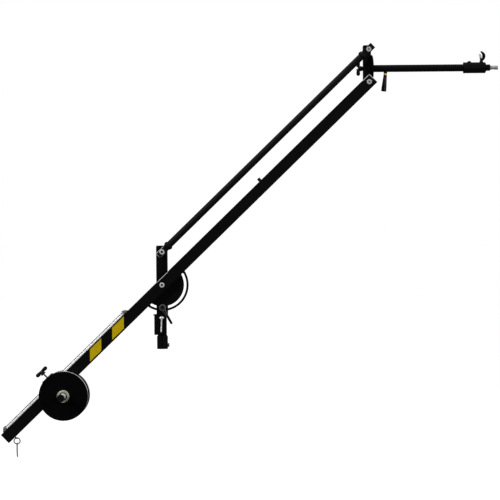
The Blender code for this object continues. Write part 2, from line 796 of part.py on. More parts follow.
def build_tilt_brake(upper):
    """The bolt, friction pad and hand lever that clamp the quadrant plate to the post."""
    hub_rear = PLATE_FRONT - SEAT_GAP
    rear = POST_DEPTH / 2 + SEAT_GAP
    shank = rear - hub_rear + BRAKE_HUB_LENGTH - BRAKE_HEAD_HEIGHT / 2
    turned(
        "brake_bolt",
        [
            (0.0, BRAKE_HEAD_HEIGHT),
            (BRAKE_HEAD_RADIUS * 0.7, BRAKE_HEAD_HEIGHT * 0.8),
            (BRAKE_HEAD_RADIUS, BRAKE_HEAD_HEIGHT * 0.3),
            (BRAKE_HEAD_RADIUS, 0.0),
            (BRAKE_BOLT_RADIUS, 0.0),
            (BRAKE_BOLT_RADIUS, -shank),
            (0.0, -shank),
        ],
        DULL_STEEL,
        upper,
        (0, rear, BRAKE_HEIGHT),
        TOWARDS_REAR,
        24,
    )
    pad_bore = BRAKE_BOLT_RADIUS + BORE_GAP
    washer(
        "brake_pad",
        pad_bore,
        BRAKE_PAD_RADIUS,
        WASHER_THICKNESS,
        upper,
        POST_FRONT,
        BRAKE_HEIGHT,
        BLACK_RUBBER,
    )
    pivot = frame("brake_lever_frame", upper, (0, hub_rear, BRAKE_HEIGHT))
    edge = BRAKE_HUB_LENGTH / 12
    lever = turned(
        "brake_lever",
        [
            (0.0, BRAKE_HUB_LENGTH),
            (BRAKE_HUB_RADIUS - edge, BRAKE_HUB_LENGTH),
            (BRAKE_HUB_RADIUS, BRAKE_HUB_LENGTH - edge),
            (BRAKE_HUB_RADIUS, 0.0),
            (0.0, 0.0),
        ],
        BLACK_PLASTIC,
        pivot,
        turn=TOWARDS_FRONT,
    )
    half = BRAKE_LEVER_WIDTH / 2
    tip_half = half * 0.85
    outline = [(0.0, -half), (BRAKE_LEVER_LENGTH - tip_half, -tip_half)]
    outline += arc((BRAKE_LEVER_LENGTH - tip_half, 0.0), tip_half, -math.pi / 2, math.pi / 2, 8)[1:]
    outline.append((0.0, half))
    blade_centre = (0, -BRAKE_HUB_LENGTH + BRAKE_LEVER_THICKNESS, 0)
    weld(
        lever,
        plate(
            "brake_lever_blade",
            [outline],
            BRAKE_LEVER_THICKNESS,
            None,
            pivot,
            blade_centre,
            (math.pi / 2, -BRAKE_LEVER_ANGLE, 0),
        ),
    )
    socket_depth = BRAKE_HUB_LENGTH - BRAKE_HEAD_HEIGHT / 4
    bore(lever, pad_bore, socket_depth + SEAT_GAP, pivot, (0, SEAT_GAP, 0), TOWARDS_FRONT)


def build_beam(boom):
    """The beam: a box tube, closed at the front, with a welded cross tube at each pivot."""
    half_depth = BEAM_DEPTH / 2
    half_width = BEAM_WIDTH / 2
    rear_end = -REAR_REACH + END_CAP_THICKNESS + SEAT_GAP
    front_end = FRONT_REACH + FRONT_OVERHANG
    beam = box(
        "beam",
        (rear_end, -half_width, -half_depth),
        (front_end, half_width, half_depth),
        BLACK_PAINT,
        boom,
        BEAM_EDGE,
    )
    inside = box(
        "beam_inside",
        (rear_end - BEAM_WALL, -half_width + BEAM_WALL, -half_depth + BEAM_WALL),
        (front_end - BEAM_WALL, half_width - BEAM_WALL, half_depth - BEAM_WALL),
        None,
        boom,
    )
    carve(beam, inside)
    for where in (0.0, FRONT_REACH):
        tube_start = (where, half_width - BEAM_WALL / 2, 0)
        tube_length = BEAM_WIDTH - BEAM_WALL
        tube_radius = MAIN_BORE + CROSS_TUBE_WALL
        weld(beam, rod("cross_tube", tube_radius, tube_length, None, boom, tube_start, TOWARDS_FRONT))
        bore(beam, MAIN_BORE, BEAM_WIDTH * 2, boom, (where, BEAM_WIDTH, 0), TOWARDS_FRONT)
    stem_start = (BUFFER_PLACE, 0, half_depth - 2 * BEAM_WALL)
    bore(beam, BUFFER_STEM + BORE_GAP, 3 * BEAM_WALL, boom, stem_start, UPRIGHT, 24)
    for side in (-1, 1):
        leg = (-LUG_PLACE, side * LUG_HALF_WIDTH, -half_depth - BEAM_WALL)
        bore(beam, LUG_WIRE + BORE_GAP, 3 * BEAM_WALL, boom, leg, UPRIGHT, 16)
    cap = box(
        "beam_rear_cap",
        (-REAR_REACH, -half_width, -half_depth),
        (-REAR_REACH + END_CAP_THICKNESS, half_width, half_depth),
        BLACK_PLASTIC,
        boom,
        END_CAP_THICKNESS / 3,
    )
    inset = BEAM_WALL + SEAT_GAP
    plug = box(
        "beam_rear_cap_plug",
        (-REAR_REACH + END_CAP_THICKNESS / 2, -half_width + inset, -half_depth + inset),
        (-REAR_REACH + END_CAP_PLUG, half_width - inset, half_depth - inset),
        None,
        boom,
    )
    weld(cap, plug)


def build_quadrant_plate(boom):
    """The slotted half-disc behind the beam, in which the brake bolt runs."""
    chord_angle = math.asin(PLATE_TOP / PLATE_RADIUS)
    outer = arc((0, 0), PLATE_RADIUS, math.pi - chord_angle, 2 * math.pi + chord_angle, 56)
    half_slot = SLOT_WIDTH / 2
    down = -math.pi / 2
    first = down - SLOT_HALF_ANGLE
    last = down + SLOT_HALF_ANGLE
    first_end = (SLOT_RADIUS * math.cos(first), SLOT_RADIUS * math.sin(first))
    last_end = (SLOT_RADIUS * math.cos(last), SLOT_RADIUS * math.sin(last))
    slot = arc((0, 0), SLOT_RADIUS + half_slot, first, last, 40)
    slot += arc(last_end, half_slot, last, last + math.pi, 8)[1:-1]
    slot += arc((0, 0), SLOT_RADIUS - half_slot, last, first, 40)
    slot += arc(first_end, half_slot, first + math.pi, first + 2 * math.pi, 8)[1:-1]
    quadrant = plate(
        "quadrant_plate",
        [outer, slot, circle((0, 0), MAIN_BORE)],
        PLATE_THICKNESS,
        BLACK_PAINT,
        boom,
        (0, (PLATE_FRONT + PLATE_REAR) / 2 - BEAM_Y, 0),
    )
    return quadrant


def build_rail(boom):
    """The bright guide rail on top of the beam, held by a clip at each end."""
    bottom = BEAM_DEPTH / 2 + SEAT_GAP
    top = bottom + RAIL_HEIGHT
    box(
        "guide_rail",
        (-RAIL_REAR, -RAIL_WIDTH / 2, bottom),
        (-RAIL_FRONT, RAIL_WIDTH / 2, top),
        ALUMINIUM,
        boom,
        RAIL_HEIGHT / 8,
    )
    clips = (("rail_clip_rear", -RAIL_REAR, -1), ("rail_clip_front", -RAIL_FRONT, 1))
    for name, end, outwards in clips:
        inner = end - outwards * CLIP_OVERLAP
        roof = top + SEAT_GAP + CLIP_ROOF
        outline = [
            (inner, bottom),
            (inner + outwards * CLIP_LENGTH, bottom),
            (inner + outwards * CLIP_LENGTH, bottom + CLIP_ROOF),
            (inner + outwards * CLIP_FLAT, roof),
            (inner, roof),
        ]
        clip_width = RAIL_WIDTH + 2 * (CLIP_SIDE + SEAT_GAP)
        clip = plate(name, [outline], clip_width, ZINC, boom)
        pocket_ends = sorted((inner - outwards * CLIP_OVERLAP, end + outwards * SEAT_GAP))
        pocket = box(
            name + "_pocket",
            (pocket_ends[0], -RAIL_WIDTH / 2 - SEAT_GAP, bottom - CLIP_ROOF),
            (pocket_ends[1], RAIL_WIDTH / 2 + SEAT_GAP, top + SEAT_GAP),
            None,
            boom,
        )
        carve(clip, pocket)


def build_buffer(boom):
    """The rubber buffer on the beam that the link meets when the boom is folded."""
    bottom = BEAM_DEPTH / 2 + SEAT_GAP
    edge = BUFFER_HEIGHT / 10
    turned(
        "link_buffer",
        [
            (0.0, BUFFER_HEIGHT),
            (BUFFER_RADIUS - edge, BUFFER_HEIGHT),
            (BUFFER_RADIUS, BUFFER_HEIGHT - edge),
            (BUFFER_RADIUS, 0.0),
            (BUFFER_STEM, 0.0),
            (BUFFER_STEM, -BEAM_WALL - SEAT_GAP * 2),
            (0.0, -BEAM_WALL - SEAT_GAP * 2),
        ],
        BLACK_RUBBER,
        boom,
        (BUFFER_PLACE, 0, bottom),
        sides=24,
    )


def build_lug_ring_and_pin(boom):
    """The wire lug under the rear end, with the ring and the safety pin that hang from it."""
    bottom = -BEAM_DEPTH / 2
    bar = bottom - LUG_DROP
    leg_top = bottom + BEAM_WALL + LUG_LEG_INSIDE
    bend = [
        (0, -x, bar + LUG_HALF_WIDTH + y)
        for x, y in arc((0, 0), LUG_HALF_WIDTH, 0.0, -math.pi, 12)
    ]
    path = [(0, -LUG_HALF_WIDTH, leg_top), *bend, (0, LUG_HALF_WIDTH, leg_top)]
    wire("ring_lug", path, LUG_WIRE, DULL_STEEL, boom, (-LUG_PLACE, 0, 0), round_sides=2)
    # The ring hangs upright in the world, so its frame undoes the boom's own slope.
    upright = (0, BOOM_ANGLE, 0)
    ring_frame = frame("ring_frame", boom, (-LUG_PLACE, 0, bar), upright)
    ring_drop = RING_RADIUS - RING_WIRE - LUG_WIRE - SEAT_GAP
    ring_path = circle((0, 0), RING_RADIUS, 32)
    curve = bpy.data.curves.new("pin_ring", "CURVE")
    curve.dimensions = "3D"
    curve.bevel_depth = RING_WIRE
    curve.bevel_resolution = 2
    spline = curve.splines.new("POLY")
    spline.points.add(len(ring_path) - 1)
    for point, (x, z) in zip(spline.points, ring_path):
        point.co = (x, 0.0, z - ring_drop, 1.0)
    spline.use_cyclic_u = True
    curve_to_piece("pin_ring", curve, DULL_STEEL, ring_frame, (0, 0, 0), UPRIGHT)
    pin_frame = frame("pin_frame", ring_frame, (0, 0, -ring_drop - RING_RADIUS))
    # The pin's eye hangs on the ring's lowest point, so it sits below the ring's wire.
    eye_drop = PIN_EYE_RADIUS - PIN_EYE_WIRE - RING_WIRE - SEAT_GAP
    shank = [
        (0, 0, -eye_drop - PIN_EYE_RADIUS),
        (0, 0, -PIN_LENGTH * 0.6),
        (PIN_TIP_BEND * 0.3, 0, -PIN_LENGTH * 0.85),
        (PIN_TIP_BEND, 0, -PIN_LENGTH),
    ]
    pin = wire("safety_pin", shank, PIN_RADIUS, DULL_STEEL, pin_frame, round_sides=2)
    eye_curve = bpy.data.curves.new("pin_eye", "CURVE")
    eye_curve.dimensions = "3D"
    eye_curve.bevel_depth = PIN_EYE_WIRE
    eye_curve.bevel_resolution = 2
    eye = eye_curve.splines.new("POLY")
    eye.points.add(19)
    for point, (y, z) in zip(eye.points, circle((0, 0), PIN_EYE_RADIUS, 20)):
        point.co = (0.0, y, z - eye_drop, 1.0)
    eye.use_cyclic_u = True
    weld(pin, curve_to_piece("pin_eye", eye_curve, None, pin_frame, (0, 0, 0), UPRIGHT))


def build_carriage(boom):
    """The sliding carriage: bracket, glides, axle, discs and end caps."""
    carriage = frame("carriage_frame", boom, (-CARRIAGE_PLACE, 0, 0))
    half_top = CARRIAGE_TOP_LENGTH / 2
    roof_top = CARRIAGE_ROOF + CARRIAGE_PLATE
    bracket = box(
        "carriage_bracket",
        (-half_top, -CARRIAGE_OUTSIDE, CARRIAGE_ROOF),
        (half_top, CARRIAGE_OUTSIDE, roof_top),
        BLACK_PAINT,
        carriage,
    )
    boss_radius = AXLE_BORE + AXLE_BOSS_WALL
    half_side = min(CARRIAGE_SIDE_LENGTH / 2, boss_radius)
    side_angle = math.acos(half_side / boss_radius)
    cheek = arc((0, -AXLE_DROP), boss_radius, math.pi + side_angle, 2 * math.pi - side_angle, 20)
    cheek += [
        (half_side, CARRIAGE_ROOF + CARRIAGE_PLATE / 2),
        (-half_side, CARRIAGE_ROOF + CARRIAGE_PLATE / 2),
    ]
    for side in (-1, 1):
        middle = (0, side * (CARRIAGE_INSIDE + CARRIAGE_PLATE / 2), 0)
        weld(bracket, plate("carriage_cheek", [cheek], CARRIAGE_PLATE, None, carriage, middle))
    axle_start = (0, 2 * CARRIAGE_OUTSIDE, -AXLE_DROP)
    bore(bracket, AXLE_BORE, 4 * CARRIAGE_OUTSIDE, carriage, axle_start, TOWARDS_FRONT)
    screw_bore = CARRIAGE_SCREW_RADIUS + BORE_GAP
    hole_start = (0, 0, CARRIAGE_ROOF - CARRIAGE_PLATE)
    bore(bracket, screw_bore, 3 * CARRIAGE_PLATE, carriage, hole_start, UPRIGHT, 24)
    build_glides(carriage, screw_bore)
    build_weights(carriage)
    build_carriage_knob(carriage, roof_top)


def build_glides(carriage, screw_bore):
    """The nylon blocks that ride on top of the beam and under it."""
    beam_top = BEAM_DEPTH / 2
    half_length = GLIDE_LENGTH / 2
    half_width = CARRIAGE_INSIDE - SEAT_GAP
    top_glide = box(
        "glide_top",
        (-half_length, -half_width, beam_top + SEAT_GAP),
        (half_length, half_width, CARRIAGE_ROOF - SEAT_GAP),
        NYLON,
        carriage,
    )
    groove = box(
        "glide_groove",
        (-GLIDE_LENGTH, -RAIL_WIDTH / 2 - SLIDE_GAP, 0.0),
        (GLIDE_LENGTH, RAIL_WIDTH / 2 + SLIDE_GAP, beam_top + RAIL_HEIGHT + SLIDE_GAP),
        None,
        carriage,
    )
    carve(top_glide, groove)
    bore(top_glide, screw_bore, CARRIAGE_ROOF * 2, carriage, (0, 0, 0), UPRIGHT, 24)
    box(
        "glide_bottom",
        (-AXLE_RADIUS, -half_width, -AXLE_DROP + AXLE_RADIUS + SEAT_GAP),
        (AXLE_RADIUS, half_width, -beam_top - SEAT_GAP),
        NYLON,
        carriage,
    )


def build_weights(carriage):
    """The axle under the beam with its discs, collars and plastic end caps."""
    axle_height = -AXLE_DROP
    rod(
        "weight_axle",
        AXLE_RADIUS,
        2 * AXLE_HALF_LENGTH,
        BRIGHT_STEEL,
        carriage,
        (0, AXLE_HALF_LENGTH, axle_height),
        TOWARDS_FRONT,
    )
    for which, side, turn in (("front", -1, TOWARDS_FRONT), ("rear", 1, TOWARDS_REAR)):
        turned(
            "weight_disc_" + which,
            [
                (DISC_RADIUS - DISC_EDGE, DISC_THICKNESS),
                (DISC_RADIUS, DISC_THICKNESS - DISC_EDGE),
                (DISC_RADIUS, DISC_EDGE),
                (DISC_RADIUS - DISC_EDGE, 0.0),
                (AXLE_BORE, 0.0),
                (AXLE_BORE, DISC_THICKNESS),
            ],
            BLACK_IRON,
            carriage,
            (0, side * DISC_INSIDE, axle_height),
            turn,
            56,
        )
        collar_floor = HUB_COLLAR_LENGTH - HUB_COLLAR_RECESS_DEPTH
        turned(
            "hub_collar_" + which,
            [
                (HUB_COLLAR_RADIUS - DISC_EDGE / 2, HUB_COLLAR_LENGTH),
                (HUB_COLLAR_RADIUS, HUB_COLLAR_LENGTH - DISC_EDGE / 2),
                (HUB_COLLAR_RADIUS, 0.0),
                (AXLE_BORE, 0.0),
                (AXLE_BORE, collar_floor),
                (max(HUB_COLLAR_RECESS, AXLE_BORE + SEAT_GAP), collar_floor),
                (max(HUB_COLLAR_RECESS, AXLE_BORE + SEAT_GAP), HUB_COLLAR_LENGTH),
            ],
            ZINC,
            carriage,
            (0, side * (DISC_OUTSIDE + SEAT_GAP), axle_height),
            turn,
            40,
        )
        turned(
            "axle_cap_" + which,
            [
                (0.0, AXLE_CAP_FLOOR),
                (AXLE_CAP_RADIUS - DISC_EDGE / 2, AXLE_CAP_FLOOR),
                (AXLE_CAP_RADIUS, AXLE_CAP_FLOOR - DISC_EDGE / 2),
                (AXLE_CAP_RADIUS, AXLE_CAP_FLOOR - AXLE_CAP_LENGTH),
                (AXLE_BORE, AXLE_CAP_FLOOR - AXLE_CAP_LENGTH),
                (AXLE_BORE, 0.0),
                (0.0, 0.0),
            ],
            BLACK_PLASTIC,
            carriage,
            (0, side * (AXLE_HALF_LENGTH + SEAT_GAP), axle_height),
            turn,
        )


def build_carriage_knob(carriage, roof_top):
    """The T-knob and the screw that clamps the carriage to the rail."""
    knob_bottom = CARRIAGE_KNOB_HEIGHT
    screw_bottom = BEAM_DEPTH / 2 + SEAT_GAP + RAIL_HEIGHT + SEAT_GAP
    t_knob(
        "carriage_knob",
        0.0,
        CARRIAGE_SCREW_RADIUS * 2,
        CARRIAGE_SCREW_RADIUS,
        carriage,
        (0, 0, knob_bottom),
        UPRIGHT,
    )
    screw_length = knob_bottom + KNOB_COLLAR_HEIGHT - SEAT_GAP - screw_bottom
    rod(
        "carriage_screw",
        CARRIAGE_SCREW_RADIUS,
        screw_length,
        DULL_STEEL,
        carriage,
        (0, 0, screw_bottom),
        UPRIGHT,
        24,
    )


def build_link(link):
    """The round link tube with a flat-bladed end fitting in each end."""
    tube_start = LINK_COLLAR_START + LINK_COLLAR_LENGTH + SEAT_GAP
    tube_end = FRONT_REACH - tube_start
    inner = LINK_TUBE_RADIUS - LINK_TUBE_WALL
    turned(
        "link_tube",
        [
            (LINK_TUBE_RADIUS, tube_end - tube_start),
            (LINK_TUBE_RADIUS, 0.0),
            (inner, 0.0),
            (inner, tube_end - tube_start),
        ],
        BLACK_PAINT,
        link,
        (tube_start, 0, 0),
        TOWARDS_RIGHT,
    )
    ends_of_link = (("lower", 0.0, TOWARDS_RIGHT), ("upper", FRONT_REACH, TOWARDS_LEFT))
    for which, where, turn in ends_of_link:
        along = 1 if which == "lower" else -1
        collar_end = LINK_COLLAR_START + LINK_COLLAR_LENGTH
        edge = LINK_COLLAR_LENGTH / 5
        fitting = turned(
            "link_end_" + which,
            [
                (0.0, collar_end + LINK_PLUG_LENGTH),
                (inner - BORE_GAP, collar_end + LINK_PLUG_LENGTH),
                (inner - BORE_GAP, collar_end),
                (LINK_TUBE_RADIUS, collar_end),
                (LINK_COLLAR_RADIUS, collar_end - edge),
                (LINK_COLLAR_RADIUS, LINK_COLLAR_START + edge),
                (BLADE_HEIGHT / 2, LINK_COLLAR_START),
                (0.0, LINK_COLLAR_START),
            ],
            BLACK_PAINT,
            link,
            (where, 0, 0),
            turn,
        )
        ends = sorted((where - along * BLADE_OVERHANG, where + along * (collar_end - edge)))
        blade = box(
            "link_blade_" + which,
            (ends[0], -BLADE_THICKNESS / 2, -BLADE_HEIGHT / 2),
            (ends[1], BLADE_THICKNESS / 2, BLADE_HEIGHT / 2),
            None,
            link,
        )
        weld(fitting, blade)
        hole_start = (where, BLADE_THICKNESS, 0)
        bore(fitting, LINK_BORE, BLADE_THICKNESS * 3, link, hole_start, TOWARDS_FRONT)


def build_head_post(head):
    """The head post, a box tube open at the bottom, with its pivots."""
    top = LINK_RISE + HEAD_ABOVE_LINK
    post = box(
        "head_post",
        (-HEAD_LEFT, -HEAD_DEPTH / 2, -HEAD_BELOW),
        (HEAD_RIGHT, HEAD_DEPTH / 2, top),
        BLACK_PAINT,
        head,
        HEAD_EDGE,
    )
    inside = box(
        "head_post_inside",
        (-HEAD_LEFT + HEAD_WALL, -HEAD_DEPTH / 2 + HEAD_WALL, -HEAD_BELOW - HEAD_WALL),
        (HEAD_RIGHT - HEAD_WALL, HEAD_DEPTH / 2 - HEAD_WALL, top - HEAD_WALL),
        None,
        head,
    )
    carve(post, inside)
    bore(post, MAIN_BORE, HEAD_DEPTH * 2, head, (0, HEAD_DEPTH, 0), TOWARDS_FRONT)
    bore(post, LINK_BORE, HEAD_DEPTH * 2, head, (0, HEAD_DEPTH, LINK_RISE), TOWARDS_FRONT)
    width = HEAD_LEFT + HEAD_RIGHT
    bore(
        post,
        ROLL_STUD_RADIUS + BORE_GAP,
        width * 2,
        head,
        (-HEAD_LEFT - width / 2, 0, ROLL_HEIGHT),
        TOWARDS_RIGHT,
    )
    beam_front = BEAM_REAR - BEAM_WIDTH - SEAT_GAP
    rear = HEAD_DEPTH / 2 + SEAT_GAP
    length = rear + NUT_HEIGHT + BOLT_END - beam_front
    bolt("head_pivot_bolt", MAIN_BOLT_RADIUS, length, head, (0, beam_front, 0))
    nut("head_pivot_nut", MAIN_BOLT_RADIUS, DULL_STEEL, head, (0, rear, 0), TOWARDS_REAR)
    spacer = HEAD_FRONT - BEAM_REAR - 2 * SEAT_GAP
    washer("head_thrust_washer", MAIN_BORE, HEAD_WASHER_RADIUS, spacer, head, HEAD_FRONT, 0.0)
    link_pivot(head, "upper", HEAD_FRONT, HEAD_DEPTH / 2, LINK_RISE)


def build_roll_flange(head):
    """The domed flange on the head post, with a corner cut away where the beam's end turns."""
    dome = [
        (FLANGE_RADIUS * math.sin(math.pi / 2 * step / 6), math.cos(math.pi / 2 * step / 6))
        for step in range(7)
    ]
    rise = FLANGE_CENTRE - FLANGE_RIM
    profile = [(ROLL_STUD_RADIUS + BORE_GAP, FLANGE_CENTRE), (FLANGE_LAND, FLANGE_CENTRE)]
    profile += [
        (radius, FLANGE_RIM + rise * share) for radius, share in dome if radius > FLANGE_LAND * 1.2
    ]
    profile += [(FLANGE_RADIUS, 0.0), (ROLL_STUD_RADIUS + BORE_GAP, 0.0)]
    flange = turned(
        "roll_flange",
        profile,
        BLACK_PAINT,
        head,
        (HEAD_RIGHT + SEAT_GAP, 0, ROLL_HEIGHT),
        TOWARDS_RIGHT,
        40,
    )
    corner_reach = math.hypot(FRONT_OVERHANG, BEAM_DEPTH / 2) + 2 * SLIDE_GAP
    sweep = rod(
        "beam_end_sweep",
        corner_reach,
        FLANGE_RADIUS,
        None,
        head,
        (0, BEAM_REAR + 2 * SLIDE_GAP, 0),
        TOWARDS_FRONT,
        40,
    )
    carve(flange, sweep)


def build_arm(arm):
    """The arm tube with its grip boss, and the stud that holds it to the head."""
    inner = ARM_RADIUS - ARM_WALL
    tube = turned(
        "arm_tube",
        [
            (ARM_RADIUS, ARM_LENGTH),
            (ARM_RADIUS, 0.0),
            (inner, 0.0),
            (inner, ARM_LENGTH),
        ],
        BLACK_PAINT,
        arm,
        (ARM_START, 0, 0),
        TOWARDS_RIGHT,
    )
    plug = inner - BORE_GAP
    knob_face = HEAD_LEFT + SEAT_GAP
    stud_end = knob_face + HEAD_KNOB_NECK + KNOB_COLLAR_HEIGHT - SEAT_GAP
    turned(
        "roll_stud",
        [
            (0.0, ARM_START + ARM_PLUG_LENGTH),
            (plug, ARM_START + ARM_PLUG_LENGTH),
            (plug, ARM_START),
            (ROLL_STUD_RADIUS, ARM_START),
            (ROLL_STUD_RADIUS, -stud_end),
            (0.0, -stud_end),
        ],
        BRIGHT_STEEL,
        arm,
        (0, 0, 0),
        TOWARDS_RIGHT,
    )
    lean = (0, GRIP_LEAN, 0)
    grip_frame = frame("grip_frame", arm, (ARM_START + GRIP_PLACE, 0, -ARM_RADIUS), lean)
    boss_drop = GRIP_BOSS_HEIGHT + ARM_WALL
    boss = rod(
        "grip_boss",
        GRIP_BOSS_RADIUS,
        boss_drop,
        None,
        grip_frame,
        (0, 0, -GRIP_BOSS_HEIGHT),
        UPRIGHT,
        24,
    )
    weld(tube, boss)
    build_grip(grip_frame)


def build_grip(grip_frame):
    """The hand grip under the arm: brass ferrule and tapered plastic handle."""
    ferrule_top = -GRIP_BOSS_HEIGHT - SEAT_GAP
    turned(
        "grip_ferrule",
        [
            (0.0, 0.0),
            (GRIP_FERRULE_RADIUS, 0.0),
            (GRIP_FERRULE_RADIUS, -GRIP_FERRULE_HEIGHT),
            (GRIP_PIN_RADIUS, -GRIP_FERRULE_HEIGHT),
            (GRIP_PIN_RADIUS, -GRIP_FERRULE_HEIGHT - GRIP_LENGTH / 3),
            (0.0, -GRIP_FERRULE_HEIGHT - GRIP_LENGTH / 3),
        ],
        BRASS,
        grip_frame,
        (0, 0, ferrule_top),
        sides=24,
    )
    top = ferrule_top - GRIP_FERRULE_HEIGHT - SEAT_GAP
    round_end = GRIP_BOTTOM_RADIUS / 3
    round_centre = (GRIP_BOTTOM_RADIUS - round_end, -GRIP_LENGTH + round_end)
    rounded = arc(round_centre, round_end, 0.0, -math.pi / 2, 4)
    bore_radius = GRIP_PIN_RADIUS + BORE_GAP
    bore_end = -GRIP_LENGTH / 3 - 2 * SEAT_GAP
    handle = turned(
        "grip_handle",
        [(0.0, 0.0), (GRIP_TOP_RADIUS, 0.0), *rounded, (0.0, -GRIP_LENGTH)],
        BLACK_PLASTIC,
        grip_frame,
        (0, 0, top),
        sides=24,
    )
    bore(handle, bore_radius, SEAT_GAP - bore_end, grip_frame, (0, 0, top + bore_end), UPRIGHT, 24)


def build_end_socket(arm):
    """The end socket with its clamping bolt, wing screw, spigot and collar."""
    length = END_SOCKET_LENGTH
    seat = END_SOCKET_OVERLAP + SEAT_GAP
    tube_bore = ARM_RADIUS + BORE_GAP
    nose = END_SOCKET_RADIUS - END_SOCKET_NOSE_DEPTH
    spigot_bore = SPIGOT_RADIUS + BORE_GAP
    socket = turned(
        "end_socket",
        [
            (nose, length),
            (END_SOCKET_RADIUS, length - END_SOCKET_NOSE_LENGTH),
            (END_SOCKET_RADIUS, END_SOCKET_LIP_LENGTH),
            (END_SOCKET_LIP, 0.0),
            (tube_bore, 0.0),
            (tube_bore, seat),
            (spigot_bore, seat),
            (spigot_bore, length),
        ],
        BLACK_PAINT,
        arm,
        (END_SOCKET_START, 0, 0),
        TOWARDS_RIGHT,
        40,
    )
    bolt_x = END_SOCKET_START + END_BOLT_PLACE
    wing_x = END_SOCKET_START + WING_PLACE
    bolt_bore = END_BOLT_RADIUS + BORE_GAP
    wing_bore = WING_SHANK_RADIUS + BORE_GAP
    bore(socket, bolt_bore, END_SOCKET_RADIUS, arm, (bolt_x, 0, ARM_RADIUS / 2), UPRIGHT, 24)
    bore(socket, wing_bore, 2 * END_SOCKET_RADIUS, arm, (wing_x, 0, 0), UPRIGHT, 24)
    head_bottom = END_SOCKET_RADIUS + SEAT_GAP
    bolt_tip = ARM_RADIUS + SEAT_GAP
    turned(
        "end_bolt",
        [
            (0.0, head_bottom + END_BOLT_HEAD_HEIGHT),
            (END_BOLT_HEAD_RADIUS * 0.55, head_bottom + END_BOLT_HEAD_HEIGHT * 0.9),
            (END_BOLT_HEAD_RADIUS * 0.85, head_bottom + END_BOLT_HEAD_HEIGHT * 0.55),
            (END_BOLT_HEAD_RADIUS, head_bottom + END_BOLT_HEAD_HEIGHT * 0.15),
            (END_BOLT_HEAD_RADIUS, head_bottom),
            (END_BOLT_RADIUS, head_bottom),
            (END_BOLT_RADIUS, bolt_tip),
            (0.0, bolt_tip),
        ],
        BLACK_PAINT,
        arm,
        (bolt_x, 0, 0),
        sides=24,
    )
    build_wing_screw(arm, wing_x, head_bottom)
    build_spigot(arm)


def build_wing_screw(arm, wing_x, seat):
    """The wing screw on top of the end socket, which holds the spigot."""
    stem_top = seat + WING_STEM_HEIGHT
    tip = SPIGOT_RADIUS + SEAT_GAP
    wing = turned(
        "wing_screw",
        [
            (0.0, stem_top),
            (WING_STEM_RADIUS * 0.5, stem_top - WING_STEM_HEIGHT * 0.06),
            (WING_STEM_RADIUS * 0.8, stem_top - WING_STEM_HEIGHT * 0.3),
            (WING_STEM_RADIUS, seat),
            (WING_SHANK_RADIUS, seat),
            (WING_SHANK_RADIUS, tip),
            (0.0, tip),
        ],
        BLACK_PAINT,
        arm,
        (wing_x, 0, 0),
        sides=24,
    )
    root = stem_top - WING_STEM_HEIGHT * 0.35
    front_wing = [
        (0.0, 0.0, root),
        (0.006, -0.002, root + 0.002),
        (0.0115, -0.005, root + 0.008),
        (0.0125, -0.008, root + 0.016),
        (0.008, -0.011, root + 0.023),
        (0.002, -0.013, root + 0.027),
        (-0.003, -0.014, root + 0.031),
    ]
    rear_wing = [
        (0.0, 0.0, root),
        (0.001, 0.006, root + 0.004),
        (0.0, 0.011, root + 0.011),
        (-0.002, 0.014, root + 0.018),
        (-0.005, 0.015, root + 0.024),
    ]
    for name, path in (("front_wing", front_wing), ("rear_wing", rear_wing)):
        weld(wing, wire(name, path, WING_WIRE, None, arm, (wing_x, 0, 0), round_sides=2))


def build_spigot(arm):
    """The bright spigot that takes the load, and its black collar."""
    face = END_SOCKET_END + SEAT_GAP
    collar_end = face + SPIGOT_COLLAR_LENGTH
    edge = SPIGOT_RADIUS / 8
    groove = SPIGOT_RADIUS - SPIGOT_GROOVE
    groove_start = SPIGOT_COLLAR_LENGTH + SPIGOT_GROOVE_PLACE
    groove_end = groove_start + SPIGOT_GROOVE_LENGTH
    tip = SPIGOT_COLLAR_LENGTH + SPIGOT_STUD
    turned(
        "spigot",
        [
            (0.0, tip),
            (SPIGOT_RADIUS - edge, tip),
            (SPIGOT_RADIUS, tip - edge),
            (SPIGOT_RADIUS, groove_end),
            (groove, groove_end),
            (groove, groove_start),
            (SPIGOT_RADIUS, groove_start),
            (SPIGOT_RADIUS, -SPIGOT_SHANK),
            (0.0, -SPIGOT_SHANK),
        ],
        BRIGHT_STEEL,
        arm,
        (face, 0, 0),
        TOWARDS_RIGHT,
    )
    spigot_bore = SPIGOT_RADIUS + BORE_GAP
    turned(
        "spigot_collar",
        [
            (SPIGOT_COLLAR_RADIUS - edge, SPIGOT_COLLAR_LENGTH),
            (SPIGOT_COLLAR_RADIUS, SPIGOT_COLLAR_LENGTH - edge),
            (SPIGOT_COLLAR_RADIUS, 0.0),
            (spigot_bore, 0.0),
            (spigot_bore, SPIGOT_COLLAR_LENGTH),
        ],
        BLACK_PAINT,
        arm,
        (face, 0, 0),
        TOWARDS_RIGHT,
    )


def build_head_knob(arm):
    """The T-knob behind the head post that locks the arm's roll."""
    knob_frame = frame("head_knob_frame", arm, (-HEAD_LEFT - SEAT_GAP, 0, 0), TOWARDS_LEFT)
    t_knob(
        "head_knob",
        HEAD_KNOB_NECK,
        HEAD_KNOB_NECK_RADIUS,
        ROLL_STUD_RADIUS,
        knob_frame,
        (0, 0, 0),
        UPRIGHT,
    )


root = frame("stand_frame", None, (0, 0, 0))
build_stand_group(root)
swivel = frame("swivel_frame", root, (0, 0, 0))
build_pan_lever(swivel, build_swivel_housing(swivel))
upper = frame("post_frame", swivel, (PIVOT_OFFSET, 0, 0))
build_post(upper)
build_post_fasteners(upper)
build_tilt_brake(upper)

